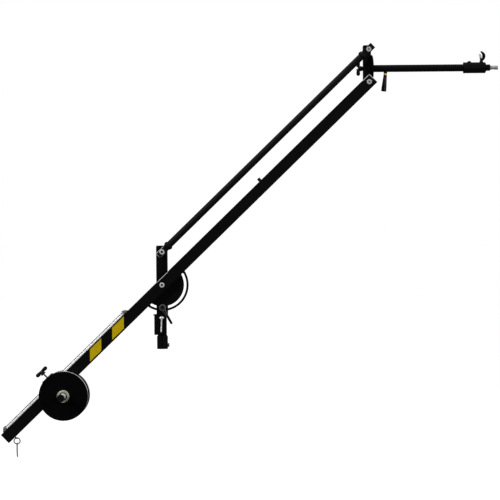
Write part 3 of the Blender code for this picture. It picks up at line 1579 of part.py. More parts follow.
tilted = (0, -BOOM_ANGLE, 0)
boom = frame("boom_frame", upper, (0, BEAM_Y, PIVOT_HEIGHT), tilted)
build_beam(boom)
build_quadrant_plate(boom)
build_rail(boom)
build_buffer(boom)
build_lug_ring_and_pin(boom)
build_carriage(boom)

link = frame("link_frame", upper, (0, BEAM_Y, LINK_PIVOT_HEIGHT), tilted)
build_link(link)

head_place = (
    FRONT_REACH * math.cos(BOOM_ANGLE),
    0.0,
    PIVOT_HEIGHT + FRONT_REACH * math.sin(BOOM_ANGLE),
)
head = frame("head_frame", upper, head_place)
build_head_post(head)
build_roll_flange(head)

arm = frame("arm_frame", head, (0, 0, ROLL_HEIGHT))
build_arm(arm)
build_end_socket(arm)
build_head_knob(arm)
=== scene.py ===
"""Looks of the counterweighted boom arm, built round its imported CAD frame, in metres.

Each section makes one real piece, or a group of like pieces, in the order of assembly:
stand socket, swivel, post, beam, counterweight, link, head, arm and load end.
"""

import math

import bmesh
import bpy
from mathutils import Euler, Matrix, Vector


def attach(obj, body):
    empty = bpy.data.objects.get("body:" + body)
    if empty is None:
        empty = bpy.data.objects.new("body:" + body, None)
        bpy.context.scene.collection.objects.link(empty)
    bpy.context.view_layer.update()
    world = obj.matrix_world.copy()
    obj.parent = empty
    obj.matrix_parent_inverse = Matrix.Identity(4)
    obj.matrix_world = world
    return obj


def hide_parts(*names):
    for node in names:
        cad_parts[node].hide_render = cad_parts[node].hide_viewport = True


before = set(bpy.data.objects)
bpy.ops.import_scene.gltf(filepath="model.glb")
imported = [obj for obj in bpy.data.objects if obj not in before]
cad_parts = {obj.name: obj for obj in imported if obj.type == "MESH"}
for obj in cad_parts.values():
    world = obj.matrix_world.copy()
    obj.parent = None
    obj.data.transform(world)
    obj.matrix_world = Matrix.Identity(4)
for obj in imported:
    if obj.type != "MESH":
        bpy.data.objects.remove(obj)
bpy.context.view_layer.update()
scene = bpy.context.scene


# Studio
# A plain pale floor and soft light: white paper behind the boom and above it, and a dim room
# behind the camera, so that black paint stays black. The camera stands square to the boom.
def add(tree, kind, inputs=(), **settings):
    """Adds a node. Each input is a value, or the output socket that feeds it."""
    made = tree.nodes.new(kind)
    for key, value in settings.items():
        setattr(made, key, value)
    for key, value in dict(inputs).items():
        if isinstance(value, bpy.types.NodeSocket):
            tree.links.new(value, made.inputs[key])
        else:
            made.inputs[key].default_value = value
    return made


def ramp(tree, value, start, end, low=0.0, high=1.0, kind="LINEAR"):
    """A number that runs from low to high while the given one runs from start to end."""
    ends = {"Value": value, "From Min": start, "From Max": end, "To Min": low, "To Max": high}
    return add(tree, "ShaderNodeMapRange", ends, interpolation_type=kind).outputs[0]


def number(tree, operation, first, second=0.0):
    """A number worked out from two numbers."""
    return add(tree, "ShaderNodeMath", {0: first, 1: second}, operation=operation).outputs[0]


FLOOR_HEIGHT = -1.35
FLOOR_HALF_SIZE = 60.0
FLOOR_WHITE = (0.93, 0.93, 0.93, 1.0)
FLOOR_GLOW = 0.44
FLOOR_BOUNCE = (0.16, 0.16, 0.16, 1.0)
floor_mesh = bpy.data.meshes.new("floor")
floor_corners = []
for x, y in ((-1, -1), (1, -1), (1, 1), (-1, 1)):
    floor_corners.append((x * FLOOR_HALF_SIZE, y * FLOOR_HALF_SIZE, FLOOR_HEIGHT))
floor_mesh.from_pydata(floor_corners, [], [(0, 1, 2, 3)])
floor = bpy.data.objects.new("floor", floor_mesh)
scene.collection.objects.link(floor)

paper = bpy.data.materials.new("pale_floor")
paper.use_nodes = True
paper_tree = paper.node_tree
paper_tree.nodes.clear()
seen = add(paper_tree, "ShaderNodeLightPath").outputs["Is Camera Ray"]
white = add(paper_tree, "ShaderNodeBsdfDiffuse", {"Color": FLOOR_WHITE}).outputs[0]
backlight = add(paper_tree, "ShaderNodeEmission", {"Strength": FLOOR_GLOW}).outputs[0]
bright = add(paper_tree, "ShaderNodeAddShader", {0: white, 1: backlight}).outputs[0]
dim = add(paper_tree, "ShaderNodeBsdfDiffuse", {"Color": FLOOR_BOUNCE}).outputs[0]
paper_mix = add(paper_tree, "ShaderNodeMixShader", {0: seen, 1: dim, 2: bright}).outputs[0]
add(paper_tree, "ShaderNodeOutputMaterial", {"Surface": paper_mix})
floor_mesh.materials.append(paper)

ROOM_BEHIND_CAMERA = 0.14
PAPER_AT_SIDES = 0.9
PAPER_BEHIND_BOOM = 0.5
DIMMED_BEHIND = PAPER_BEHIND_BOOM - PAPER_AT_SIDES
studio = bpy.data.worlds.new("studio")
scene.world = studio
studio.use_nodes = True
studio_tree = studio.node_tree
studio_tree.nodes.clear()
looking = add(studio_tree, "ShaderNodeTexCoord").outputs["Generated"]
depth = add(studio_tree, "ShaderNodeSeparateXYZ", {0: looking}).outputs["Y"]
walls = ramp(studio_tree, depth, -0.75, -0.15, ROOM_BEHIND_CAMERA, PAPER_AT_SIDES, "SMOOTHSTEP")
back_wall = ramp(studio_tree, depth, 0.15, 0.6, 0.0, DIMMED_BEHIND, "SMOOTHSTEP")
glow = number(studio_tree, "ADD", walls, back_wall)
WHITE_LIGHT = (1.0, 1.0, 1.0, 1.0)
room = add(studio_tree, "ShaderNodeBackground", {"Color": WHITE_LIGHT, "Strength": glow})
backdrop = add(studio_tree, "ShaderNodeBackground", {"Color": WHITE_LIGHT, "Strength": 1.0})
seen = add(studio_tree, "ShaderNodeLightPath").outputs["Is Camera Ray"]
shaders = {0: seen, 1: room.outputs[0], 2: backdrop.outputs[0]}
studio_mix = add(studio_tree, "ShaderNodeMixShader", shaders).outputs[0]
add(studio_tree, "ShaderNodeOutputWorld", {"Surface": studio_mix})

SOFTBOXES = (
    ("left_softbox", 260.0, (-3.6, -4.4, 2.6), (0.2, 0.0, 0.3), (1.6, 1.2)),
    ("right_softbox", 200.0, (4.4, -4.2, 2.0), (0.4, 0.0, 0.4), (1.6, 1.2)),
    ("overhead_softbox", 150.0, (-0.6, -0.3, 4.2), (0.3, 0.0, 0.3), (3.0, 2.0)),
)
for name, power, place, aim, size in SOFTBOXES:
    light = bpy.data.lights.new(name, "AREA")
    light.shape = "RECTANGLE"
    light.energy = power
    light.size, light.size_y = size
    holder = bpy.data.objects.new(name, light)
    scene.collection.objects.link(holder)
    holder.location = place
    holder.rotation_euler = (Vector(aim) - Vector(place)).to_track_quat("-Z", "Y").to_euler()

VIEW_CENTRE = (0.3553, 0.3945)
CAMERA_BACK = 7.5474
CAMERA_ROLL = math.radians(-0.48)
camera_data = bpy.data.cameras.new("camera")
camera_data.sensor_width = 36.0
camera_data.lens = 135.0
camera_data.clip_end = 200.0
camera = bpy.data.objects.new("camera", camera_data)
scene.collection.objects.link(camera)
camera.matrix_world = (
    Matrix.Translation((VIEW_CENTRE[0], -CAMERA_BACK, VIEW_CENTRE[1]))
    @ Matrix.Rotation(math.pi / 2, 4, "X")
    @ Matrix.Rotation(CAMERA_ROLL, 4, "Z")
)
scene.camera = camera
scene.view_settings.view_transform = "Standard"
scene.view_settings.gamma = 0.8


# Stand socket and its locking screw
# A steel sleeve, turned and bored for the stand's spigot, then powder coated in satin black.
# A plated cap screw in its right side, with a knurled head, presses on the spigot.
def lathe(profile, sides=96):
    """A turned shape. The (radius, height) points of its profile run along the outside, and
    either may be a function of the angle, as on a hexagon."""
    shape = bmesh.new()
    rings = []
    for radius, height in profile:
        if radius == 0:
            rings.append([shape.verts.new((0, 0, height))] * sides)
            continue
        ring = []
        for step in range(sides):
            turn = 2 * math.pi * step / sides
            reach = radius(turn) if callable(radius) else radius
            level = height(turn) if callable(height) else height
            ring.append(shape.verts.new((reach * math.cos(turn), reach * math.sin(turn), level)))
        rings.append(ring)
    if profile[0][0] != 0:
        rings.append(rings[0])
    join_rings(shape, rings)
    return shape


def join_rings(shape, rings):
    """Joins each ring of points to the next one with faces."""
    for low, high in zip(rings, rings[1:]):
        for step in range(len(low)):
            corners = (low[step - 1], low[step], high[step], high[step - 1])
            corners = list(dict.fromkeys(corners))
            if len(corners) > 2:
                shape.faces.new(corners)


def eased(points, radius, steps=3, closed=False):
    """The same outline with its corners rounded, apart from the two ends of an open one."""
    rounded = []
    for index, point in enumerate(points):
        corner = Vector(point)
        before = Vector(points[index - 1]) - corner
        after = Vector(points[(index + 1) % len(points)]) - corner
        is_end = not closed and index in (0, len(points) - 1)
        if is_end or before.angle(after) > math.radians(168):
            rounded.append(tuple(corner))
            continue
        half = before.angle(after) / 2
        reach = min(radius / math.tan(half), before.length * 0.45, after.length * 0.45)
        start = corner + before.normalized() * reach
        end = corner + after.normalized() * reach
        for step in range(steps + 1):
            first = start.lerp(corner, step / steps)
            second = corner.lerp(end, step / steps)
            rounded.append(tuple(first.lerp(second, step / steps)))
    return rounded


def placed(shape, place=(0, 0, 0), turn=(0, 0, 0)):
    """The shape turned about its origin and then moved."""
    shape.transform(Matrix.Translation(place) @ Euler(turn).to_matrix().to_4x4())
    return shape


def turned(profile, corner, sides=96, steps=3, place=(0, 0, 0), turn=(0, 0, 0)):
    """A turned shape with its corners eased. One that starts off its axis is a ring."""
    outline = eased(profile, corner, steps, profile[0][0] != 0)
    return placed(lathe(outline, sides), place, turn)


def combine(*shapes):
    """Several shapes as the shells of one."""
    whole = bmesh.new()
    for shape in shapes:
        passing = bpy.data.meshes.new("passing")
        shape.to_mesh(passing)
        shape.free()
        whole.from_mesh(passing)
        bpy.data.meshes.remove(passing)
    return whole


def mark(shape, belongs):
    """Gives the faces that pass a test the piece's second finish."""
    shape.normal_update()
    for face in shape.faces:
        if belongs(face.calc_center_median(), face.normal):
            face.material_index = 1
    return shape


def piece(name, shape, finish, body, stands_for=(), where=None, second=None):
    """Files a finished shape as a piece of the boom arm that rides on a body."""
    if where:
        shape.transform(where)
    bmesh.ops.remove_doubles(shape, verts=shape.verts, dist=0.000002)
    bmesh.ops.recalc_face_normals(shape, faces=shape.faces)
    mesh = bpy.data.meshes.new(name)
    shape.to_mesh(mesh)
    shape.free()
    mesh.materials.append(finish)
    if second:
        mesh.materials.append(second)
    mesh.shade_smooth()
    mesh.set_sharp_from_angle(angle=math.radians(38))
    made = bpy.data.objects.new(name, mesh)
    scene.collection.objects.link(made)
    even = made.modifiers.new("even_shading", "WEIGHTED_NORMAL")
    even.keep_sharp = True
    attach(made, body)
    if stands_for:
        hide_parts(*stands_for)


def vector(tree, operation, first, second):
    """A vector worked out from two vectors, or a number where the operation gives one."""
    made = add(tree, "ShaderNodeVectorMath", {0: first, 1: second}, operation=operation)
    return made.outputs["Value"] if operation in ("DOT_PRODUCT", "DISTANCE") else made.outputs[0]


def noise(tree, where, scale, detail, roughness=0.5):
    """A noise texture."""
    values = {"Vector": where, "Scale": scale, "Detail": detail, "Roughness": roughness}
    return add(tree, "ShaderNodeTexNoise", values).outputs[0]


def node_group(name, inputs, outputs):
    """An empty shader node group and the sockets of its two ends. Each input starts from a
    number or a vector, and each output is a number."""
    tree = bpy.data.node_groups.new(name, "ShaderNodeTree")
    for label, value in inputs.items():
        kind = "NodeSocketVector" if isinstance(value, tuple) else "NodeSocketFloat"
        tree.interface.new_socket(label, in_out="INPUT", socket_type=kind).default_value = value
    for label in outputs:
        tree.interface.new_socket(label, in_out="OUTPUT", socket_type="NodeSocketFloat")
    return tree, add(tree, "NodeGroupInput").outputs, add(tree, "NodeGroupOutput").inputs


ORIGIN = (0.0, 0.0, 0.0)
ALONG_X = (1.0, 0.0, 0.0)
ALONG_Y = (0.0, 1.0, 0.0)
ALONG_Z = (0.0, 0.0, 1.0)
TOWARDS_FRONT = (math.pi / 2, 0, 0)
TOWARDS_REAR = (-math.pi / 2, 0, 0)
TOWARDS_RIGHT = (0, math.pi / 2, 0)
TOWARDS_LEFT = (0, -math.pi / 2, 0)

# Grain is the relief of a sprayed, cast or moulded skin: a fine texture and slower patches.
grain_sizes = {"Fine": 900.0, "Coarse": 30.0}
surface_grain, given, result = node_group("surface_grain", grain_sizes, ("Relief", "Patches"))
where = add(surface_grain, "ShaderNodeTexCoord").outputs["Object"]
fine = noise(surface_grain, where, given["Fine"], 2.0, 0.55)
coarse = noise(surface_grain, where, given["Coarse"], 4.0, 0.6)
surface_grain.links.new(fine, result["Relief"])
surface_grain.links.new(coarse, result["Patches"])

# Edge wear is where handling has thinned and polished a finish along its corners.
edge_wear, given, result = node_group("edge_wear", {"Reach": 0.001, "Amount": 0.5}, ("Mask",))
where = add(edge_wear, "ShaderNodeTexCoord").outputs["Object"]
rounded_off = add(edge_wear, "ShaderNodeBevel", {"Radius": given["Reach"]}, samples=4)
straight = add(edge_wear, "ShaderNodeNewGeometry").outputs["Normal"]
agree = vector(edge_wear, "DOT_PRODUCT", rounded_off.outputs[0], straight)
patchy = ramp(edge_wear, noise(edge_wear, where, 160.0, 3.0), 0.42, 0.62)
worn_off = number(edge_wear, "MULTIPLY", ramp(edge_wear, agree, 0.995, 0.86), patchy)
edge_wear.links.new(number(edge_wear, "MULTIPLY", worn_off, given["Amount"]), result["Mask"])

# Turning marks are the fine rings that a lathe tool leaves round a piece's own axis.
ring_sizes = {"Centre": ORIGIN, "Axis": ALONG_Z, "Fineness": 2500.0}
turning_marks, given, result = node_group("turning_marks", ring_sizes, ("Marks",))
where = add(turning_marks, "ShaderNodeTexCoord").outputs["Object"]
offset = vector(turning_marks, "SUBTRACT", where, given["Centre"])
along = vector(turning_marks, "DOT_PRODUCT", offset, given["Axis"])
on_axis = vector(turning_marks, "MULTIPLY", given["Axis"], along)
distance = vector(turning_marks, "DISTANCE", offset, on_axis)
rings = add(turning_marks, "ShaderNodeCombineXYZ", {"X": distance, "Y": along}).outputs[0]
turning_marks.links.new(noise(turning_marks, rings, given["Fineness"], 2.0), result["Marks"])


def finish(name, colour, metallic, specular):
    """A new material of one colour, and its node tree."""
    made = bpy.data.materials.new(name)
    made.use_nodes = True
    shader = made.node_tree.nodes["Principled BSDF"]
    shader.inputs["Base Color"].default_value = (*colour, 1.0)
    shader.inputs["Metallic"].default_value = metallic
    shader.inputs["Specular IOR Level"].default_value = specular
    return made, made.node_tree


def blended(tree, share, low, high):
    """A colour between two others, each of them a colour or a socket."""
    ends = [end if isinstance(end, bpy.types.NodeSocket) else (*end, 1.0) for end in (low, high)]
    return add(
        tree, "ShaderNodeMix", {0: share, 6: ends[0], 7: ends[1]}, data_type="RGBA"
    ).outputs[2]


def vary(tree, colour, roughness, height=None, depth=0.0, strength=0.5):
    """Lets the colour, roughness and relief of a material change over its surface."""
    fed = {"Base Color": colour, "Roughness": roughness}
    if height:
        relief = {"Strength": strength, "Distance": depth, "Height": height}
        fed["Normal"] = add(tree, "ShaderNodeBump", relief).outputs[0]
    for label, socket in fed.items():
        tree.links.new(socket, tree.nodes["Principled BSDF"].inputs[label])


def coated(
    name, colour, worn, roughness, specular, spread=0.06, grain=1400.0, relief=0.00006, wear=0.3,
    patches=30.0,
):
    """A painted, cast or moulded finish: grain in relief, patches of sheen, and worn edges."""
    made, tree = finish(name, colour, 0.0, specular)
    sizes = {"Fine": grain, "Coarse": patches}
    skin = add(tree, "ShaderNodeGroup", sizes, node_tree=surface_grain).outputs
    edges = add(tree, "ShaderNodeGroup", {"Amount": wear}, node_tree=edge_wear).outputs
    sheen = ramp(tree, skin["Patches"], 0.3, 0.7, roughness - spread, roughness + spread)
    tone = blended(tree, edges["Mask"], colour, worn)
    vary(tree, tone, sheen, skin["Relief"], relief, 0.6)
    return made


def machined(name, colour, roughness, centre, axis, fineness=2600.0, relief=0.00002, metallic=1.0):
    """A turned metal finish whose rings run round the piece's own axis. A plating that is less
    metallic keeps some of its grey when it has only a dark room to reflect."""
    made, tree = finish(name, colour, metallic, 0.5)
    sizes = {"Centre": centre, "Axis": axis, "Fineness": fineness}
    marks = add(tree, "ShaderNodeGroup", sizes, node_tree=turning_marks).outputs["Marks"]
    sizes = {"Fine": 1500.0, "Coarse": 60.0}
    skin = add(tree, "ShaderNodeGroup", sizes, node_tree=surface_grain).outputs
    sheen = ramp(tree, marks, 0.3, 0.7, roughness * 0.8, roughness * 1.25)
    dulled = tuple(value * 0.8 for value in colour)
    tone = blended(tree, skin["Patches"], colour, dulled)
    vary(tree, tone, sheen, marks, relief)
    return made


SATIN_BLACK = (0.0034, 0.0034, 0.0042)
WORN_BLACK = (0.022, 0.022, 0.024)
powder_coat = coated("satin_powder_coat", SATIN_BLACK, WORN_BLACK, 0.42, 0.10)

SLEEVE_RADIUS = 0.0215
SLEEVE_HEIGHT = 0.0515
SLEEVE_BORE = 0.0143
SLEEVE_BORE_DEPTH = 0.047
STUD_HOLE = 0.0063
sleeve_profile = [
    (SLEEVE_RADIUS, SLEEVE_HEIGHT), (SLEEVE_RADIUS, 0.0), (SLEEVE_BORE, 0.0),
    (SLEEVE_BORE, SLEEVE_BORE_DEPTH), (STUD_HOLE, SLEEVE_BORE_DEPTH), (STUD_HOLE, SLEEVE_HEIGHT),
]
sleeve = turned(sleeve_profile, 0.0009, 128)
piece("socket_sleeve", sleeve, powder_coat, "stand", ["stand_socket"])


def hexagon(across):
    """The radius of a hexagon, given across its flats, at each angle of a turn."""

    def radius(turn):
        return across / 2 / math.cos((turn + math.pi / 6) % (math.pi / 3) - math.pi / 6)

    return radius


def node_tree(name, **inputs):
    """An empty Geometry Nodes tree with named inputs, and the sockets of its two ends."""
    tree = bpy.data.node_groups.new(name, "GeometryNodeTree")
    for label, kind in {"Geometry": "Geometry", **inputs, "Finish": "Material"}.items():
        tree.interface.new_socket(label, in_out="INPUT", socket_type=f"NodeSocket{kind}")
    tree.interface.new_socket("Geometry", in_out="OUTPUT", socket_type="NodeSocketGeometry")
    return tree, add(tree, "NodeGroupInput").outputs, add(tree, "NodeGroupOutput").inputs


def close_tree(tree, given, result, geometry):
    """Ends a tree in real, smooth geometry with its finish."""
    real = add(tree, "GeometryNodeRealizeInstances", {0: geometry}).outputs[0]
    smooth = add(tree, "GeometryNodeSetShadeSmooth", {0: real}).outputs[0]
    dressed = {"Geometry": smooth, "Material": given["Finish"]}
    coloured = add(tree, "GeometryNodeSetMaterial", dressed).outputs[0]
    tree.links.new(coloured, result["Geometry"])


def evaluated(holder):
    """The shape that an object has with its modifiers. The object is removed."""
    bpy.context.view_layer.update()
    live = holder.evaluated_get(bpy.context.evaluated_depsgraph_get())
    real = bpy.data.meshes.new_from_object(live)
    shape = bmesh.new()
    shape.from_mesh(real)
    bpy.data.objects.remove(holder)
    bpy.data.meshes.remove(real)
    return shape


def grown(tree, values, path=None):
    """Runs a Geometry Nodes tree and returns what it makes, as a shape."""
    mesh = bpy.data.meshes.new("path")
    if path:
        mesh.from_pydata(path, [(step, step + 1) for step in range(len(path) - 1)], [])
    holder = bpy.data.objects.new("grown", mesh)
    scene.collection.objects.link(holder)
    modifier = holder.modifiers.new("grow", "NODES")
    modifier.node_group = tree
    for item in tree.interface.items_tree:
        if item.in_out == "INPUT" and item.name in values:
            modifier[item.identifier] = values[item.name]
    return evaluated(holder)


# Knurling is a row of straight ribs round a head, which gives the fingers a grip.
knurling, given, result = node_tree(
    "knurling", Count="Int", Radius="Float", Rib="Float", Length="Float"
)
circle = {"Vertices": given["Count"], "Radius": given["Radius"]}
ring_points = add(knurling, "GeometryNodeMeshCircle", circle).outputs[0]
rib = {"Vertices": 6, "Radius": given["Rib"], "Depth": given["Length"]}
rib_mesh = add(knurling, "GeometryNodeMeshCylinder", rib).outputs["Mesh"]
rib_places = {"Points": ring_points, "Instance": rib_mesh}
ribs = add(knurling, "GeometryNodeInstanceOnPoints", rib_places).outputs[0]
close_tree(knurling, given, result, ribs)

# A screw thread is one ridge that climbs round the shank.
screw_thread, given, result = node_tree(
    "screw_thread", Turns="Float", Radius="Float", Length="Float", Ridge="Float"
)
spiral = {"Resolution": 24, "Rotations": given["Turns"], "Height": given["Length"]}
spiral.update({"Start Radius": given["Radius"], "End Radius": given["Radius"]})
climb = add(screw_thread, "GeometryNodeCurveSpiral", spiral).outputs[0]
circle = {"Resolution": 5, "Radius": given["Ridge"]}
ridge = add(screw_thread, "GeometryNodeCurvePrimitiveCircle", circle).outputs[0]
solid = {"Curve": climb, "Profile Curve": ridge, "Fill Caps": True}
thread_mesh = add(screw_thread, "GeometryNodeCurveToMesh", solid).outputs[0]
close_tree(screw_thread, given, result, thread_mesh)


def thread(radius, start, length, pitch, finish_used):
    """A thread on a shank of that radius, from a height on its own Z axis."""
    values = {"Turns": length / pitch, "Radius": radius, "Length": length}
    values.update({"Ridge": pitch * 0.32, "Finish": finish_used})
    return placed(grown(screw_thread, values), (0, 0, start))


def cap_screw(radius, length, head_radius, head_height, socket, finish_used, thread_length):
    """A cap screw: knurled head with a hexagon socket above its seat, shank below it. The
    socket's inside takes the piece's second finish."""
    lip = head_height / 8
    floor_height = head_height * 0.45
    outside = [
        (0.0, -length), (radius, -length), (radius, 0.0), (head_radius, 0.0),
        (head_radius, head_height), (head_radius * 0.7, head_height),
    ]
    inside = [
        (hexagon(socket * 1.08), head_height), (hexagon(socket), head_height - lip / 2),
        (hexagon(socket), floor_height), (0.0, floor_height - socket * 0.12),
    ]
    ribs = {"Count": 40, "Radius": head_radius - 0.0001, "Rib": head_radius * 0.055}
    ribs.update({"Length": head_height * 0.66, "Finish": finish_used})

    def in_socket(middle, normal):
        return middle.z > floor_height * 0.5 and middle.xy.length < socket * 0.6

    shapes = [mark(lathe(eased(outside, lip) + inside, 72), in_socket)]
    shapes.append(placed(grown(knurling, ribs), (0, 0, head_height * 0.46)))
    if thread_length:
        shapes.append(thread(radius, -length + 0.0005, thread_length, radius * 0.22, finish_used))
    return combine(*shapes)


LOCK_SCREW_PLACE = (SLEEVE_RADIUS + 0.0003, 0, 0.0148)
plated = machined("plated_steel", (0.22, 0.22, 0.225), 0.38, ORIGIN, ALONG_Y, 2400.0, metallic=0.5)
# A near-black finish for the insides of sockets and counterbores: painted shade in the recesses.
recess_painted_shade = coated(
    "recess_painted_shade", (0.016, 0.016, 0.017), (0.05, 0.05, 0.05), 0.6, 0.3, spread=0.1, grain=900.0,
    relief=0.00005, wear=0.4,
)
lock_screw = cap_screw(0.004, 0.0075, 0.007, 0.0055, 0.005, plated, 0)
lock_screw = placed(lock_screw, LOCK_SCREW_PLACE, TOWARDS_RIGHT)
piece(
    "socket_lock_screw", lock_screw, plated, "socket_screw", ["socket_screw"],
    second=recess_painted_shade,
)


# Swivel spindle and housing
# The spindle is turned from bright bar with a flange that stands on the sleeve. The housing is a
# sawn steel block, bored for the spindle, edges broken and powder coated.
bright_upright = machined("bright_steel_upright", (0.62, 0.63, 0.64), 0.26, ORIGIN, ALONG_Z)
FLANGE_BOTTOM = 0.0518
FLANGE_TOP = 0.0568
SPINDLE_TOP = 0.1529
HOUSING_TOP = 0.1343
SPINDLE_BOTTOM = 0.0473
SPINDLE_RADIUS = 0.014
NUT_THREAD_RADIUS = 0.008
FLANGE_RADIUS = 0.0185
TAIL_RADIUS = 0.006
spindle_profile = [
    (0.0, SPINDLE_TOP), (NUT_THREAD_RADIUS, SPINDLE_TOP), (NUT_THREAD_RADIUS, HOUSING_TOP),
    (SPINDLE_RADIUS, HOUSING_TOP), (SPINDLE_RADIUS, FLANGE_TOP), (FLANGE_RADIUS, FLANGE_TOP),
    (FLANGE_RADIUS, FLANGE_BOTTOM), (TAIL_RADIUS, FLANGE_BOTTOM), (TAIL_RADIUS, SPINDLE_BOTTOM),
    (0.0, SPINDLE_BOTTOM),
]


def on_flange(middle, normal):
    return FLANGE_BOTTOM - 0.0001 < middle.z < FLANGE_TOP + 0.0002


piece(
    "turned_spindle", mark(turned(spindle_profile, 0.0007), on_flange), bright_upright, "stand",
    ["swivel_spindle"], second=powder_coat,
)


def block(low, high, edge, segments=4):
    """A solid block with rounded edges."""
    shape = bmesh.new()
    bmesh.ops.create_cube(shape, size=1.0)
    for vertex in shape.verts:
        vertex.co = [(a + b) / 2 + share * (b - a) for a, b, share in zip(low, high, vertex.co)]
    round_edges(shape, edge, segments)
    return shape


def round_edges(shape, width, segments=2, sharper_than=50):
    """Rounds the edges between faces that meet at more than an angle."""
    limit = math.radians(sharper_than)
    edges = [e for e in shape.edges if len(e.link_faces) == 2 and e.calc_face_angle() > limit]
    bmesh.ops.bevel(shape, geom=edges, offset=width, segments=segments, profile=0.5, affect="EDGES")


def boolean(base, tool, operation):
    """The base joined with the tool, or with the tool's shape taken out of it."""
    holders = []
    for label, shape in (("base", base), ("tool", tool)):
        bmesh.ops.recalc_face_normals(shape, faces=shape.faces)
        mesh = bpy.data.meshes.new(label)
        shape.to_mesh(mesh)
        shape.free()
        holder = bpy.data.objects.new(label, mesh)
        scene.collection.objects.link(holder)
        holders.append(holder)
    modifier = holders[0].modifiers.new("boolean", "BOOLEAN")
    modifier.operation = operation
    modifier.object = holders[1]
    made = evaluated(holders[0])
    bpy.data.objects.remove(holders[1])
    return made


def drilled(shape, radius, start, length, turn, sides=48):
    """The shape with a round hole that starts at a point and runs along the turned Z axis."""
    drill = lathe([(0.0, 0.0), (radius, 0.0), (radius, length), (0.0, length)], sides)
    return boolean(shape, placed(drill, start, turn), "DIFFERENCE")


HOUSING_LOW = (-0.0312, -0.022, 0.0571)
HOUSING_HIGH = (0.0167, 0.022, HOUSING_TOP)
LEVER_PLACE = (-0.001, -0.0223, 0.1258)
SPOT_FACE_RADIUS = 0.0088
SPOT_FACE_DEPTH = 0.0006
LEVER_HOLE = 0.0048
housing = block(HOUSING_LOW, HOUSING_HIGH, 0.002)
housing = drilled(housing, SLEEVE_BORE, (0, 0, 0.04), 0.12, (0, 0, 0), 72)
spot = (LEVER_PLACE[0], HOUSING_LOW[1] + SPOT_FACE_DEPTH, LEVER_PLACE[2])
housing = drilled(housing, SPOT_FACE_RADIUS, spot, 0.01, TOWARDS_FRONT)
housing = drilled(housing, LEVER_HOLE, (spot[0], -0.010, spot[2]), 0.02, TOWARDS_FRONT)
piece("housing_block", housing, powder_coat, "swivel", ["swivel_housing"])


# Swivel clamp lever
# A bright forged lever on the front of the housing: an oval head with a long round bar that hangs
# from it, on a screw that presses on the spindle.
def bulged(share, square):
    """A share of a section's half width, pushed out where the section is squarer than an oval."""
    return math.copysign(abs(share) ** (2 / square), share)


def swept(path, widths, heights, side, sides=28, ends=1.0, square=2.0, closed=False, section=None):
    """A bar along a path. Its width lies towards the side vector and may change on the way, and
    its section is an oval, or the (across, up) corners given."""
    points = [Vector(point) for point in path]
    count = len(points)
    widths = widths if isinstance(widths, list) else [widths] * count
    heights = heights if isinstance(heights, list) else [heights] * count
    stations = []
    for index, centre in enumerate(points):
        after = points[(index + 1) % count] if closed else points[min(index + 1, count - 1)]
        before = points[index - 1] if closed else points[max(index - 1, 0)]
        ahead = (after - before).normalized()
        across = Vector(side) - ahead * ahead.dot(Vector(side))
        across.normalize()
        up = ahead.cross(across)
        stations.append((centre, ahead, across * widths[index] / 2, up * heights[index] / 2))
    if not closed:
        for last in (False, True):
            centre, ahead, across, up = stations[-1] if last else stations[0]
            outwards = ahead if last else -ahead
            dome = min(across.length, up.length) * ends
            for step in (1, 2, 3, 4):
                turn = math.pi / 2 * step / 4.3
                cap = (
                    centre + outwards * dome * math.sin(turn), ahead, across * math.cos(turn),
                    up * math.cos(turn),
                )
                stations.insert(len(stations) if last else 0, cap)
    if section is None:
        section = []
        for step in range(sides):
            turn = 2 * math.pi * step / sides
            section.append((bulged(math.cos(turn), square), bulged(math.sin(turn), square)))
    shape = bmesh.new()
    rings = []
    for centre, ahead, across, up in stations:
        rings.append([shape.verts.new(centre + across * a + up * b) for a, b in section])
    if closed:
        rings.append(rings[0])
    else:
        shape.faces.new(rings[0])
        shape.faces.new(rings[-1])
    join_rings(shape, rings)
    return shape


HEAD_STANDOFF = 0.0065
BAR_LEAN = math.radians(2.7)
BAR_LENGTH = 0.0570
BAR_RADIUS = 0.0035
LEVER_HEAD_WIDTH = 0.020
LEVER_HEAD_DEPTH = 0.012
LEVER_HEAD_HEIGHT = 0.013
head = bmesh.new()
bmesh.ops.create_uvsphere(head, u_segments=48, v_segments=24, radius=0.5)
for vertex in head.verts:
    x, y, z = vertex.co
    y = y * LEVER_HEAD_DEPTH - HEAD_STANDOFF
    vertex.co = (x * LEVER_HEAD_WIDTH, y, z * LEVER_HEAD_HEIGHT)
bar_end = (-BAR_LENGTH * math.sin(BAR_LEAN), -HEAD_STANDOFF, -BAR_LENGTH * math.cos(BAR_LEAN))
bar_points = [Vector((0, -HEAD_STANDOFF, 0)).lerp(Vector(bar_end), step / 8) for step in range(9)]
bar_swell = (1.3, 1.1, 0.94, 0.86, 0.84, 0.84, 0.88, 0.92, 0.94)
bar_sizes = [2 * BAR_RADIUS * swell for swell in bar_swell]
bar = swept(bar_points, bar_sizes, bar_sizes, ALONG_X, 32, ends=0.3)
lever_hub_profile = [
    (0.0, -0.008), (0.0045, -0.008), (0.0045, 0), (0.0068, 0), (0.0068, HEAD_STANDOFF),
    (0.0, HEAD_STANDOFF),
]
lever_hub = turned(lever_hub_profile, 0.0005, turn=TOWARDS_FRONT)
lever = boolean(boolean(head, bar, "UNION"), lever_hub, "UNION")
bright_lever = machined(
    "bright_lever", (0.76, 0.76, 0.75), 0.42, LEVER_PLACE, ALONG_Z, 3000.0, metallic=0.4
)
piece(
    "swivel_clamp_lever", lever, bright_lever, "pan_lever", ["pan_lever"],
    Matrix.Translation(LEVER_PLACE),
)


# Post, foot and cap
# A square steel tube welded to a foot plate on the housing. The weld's ripples show under the
# paint, and a moulded plastic cap closes the top.

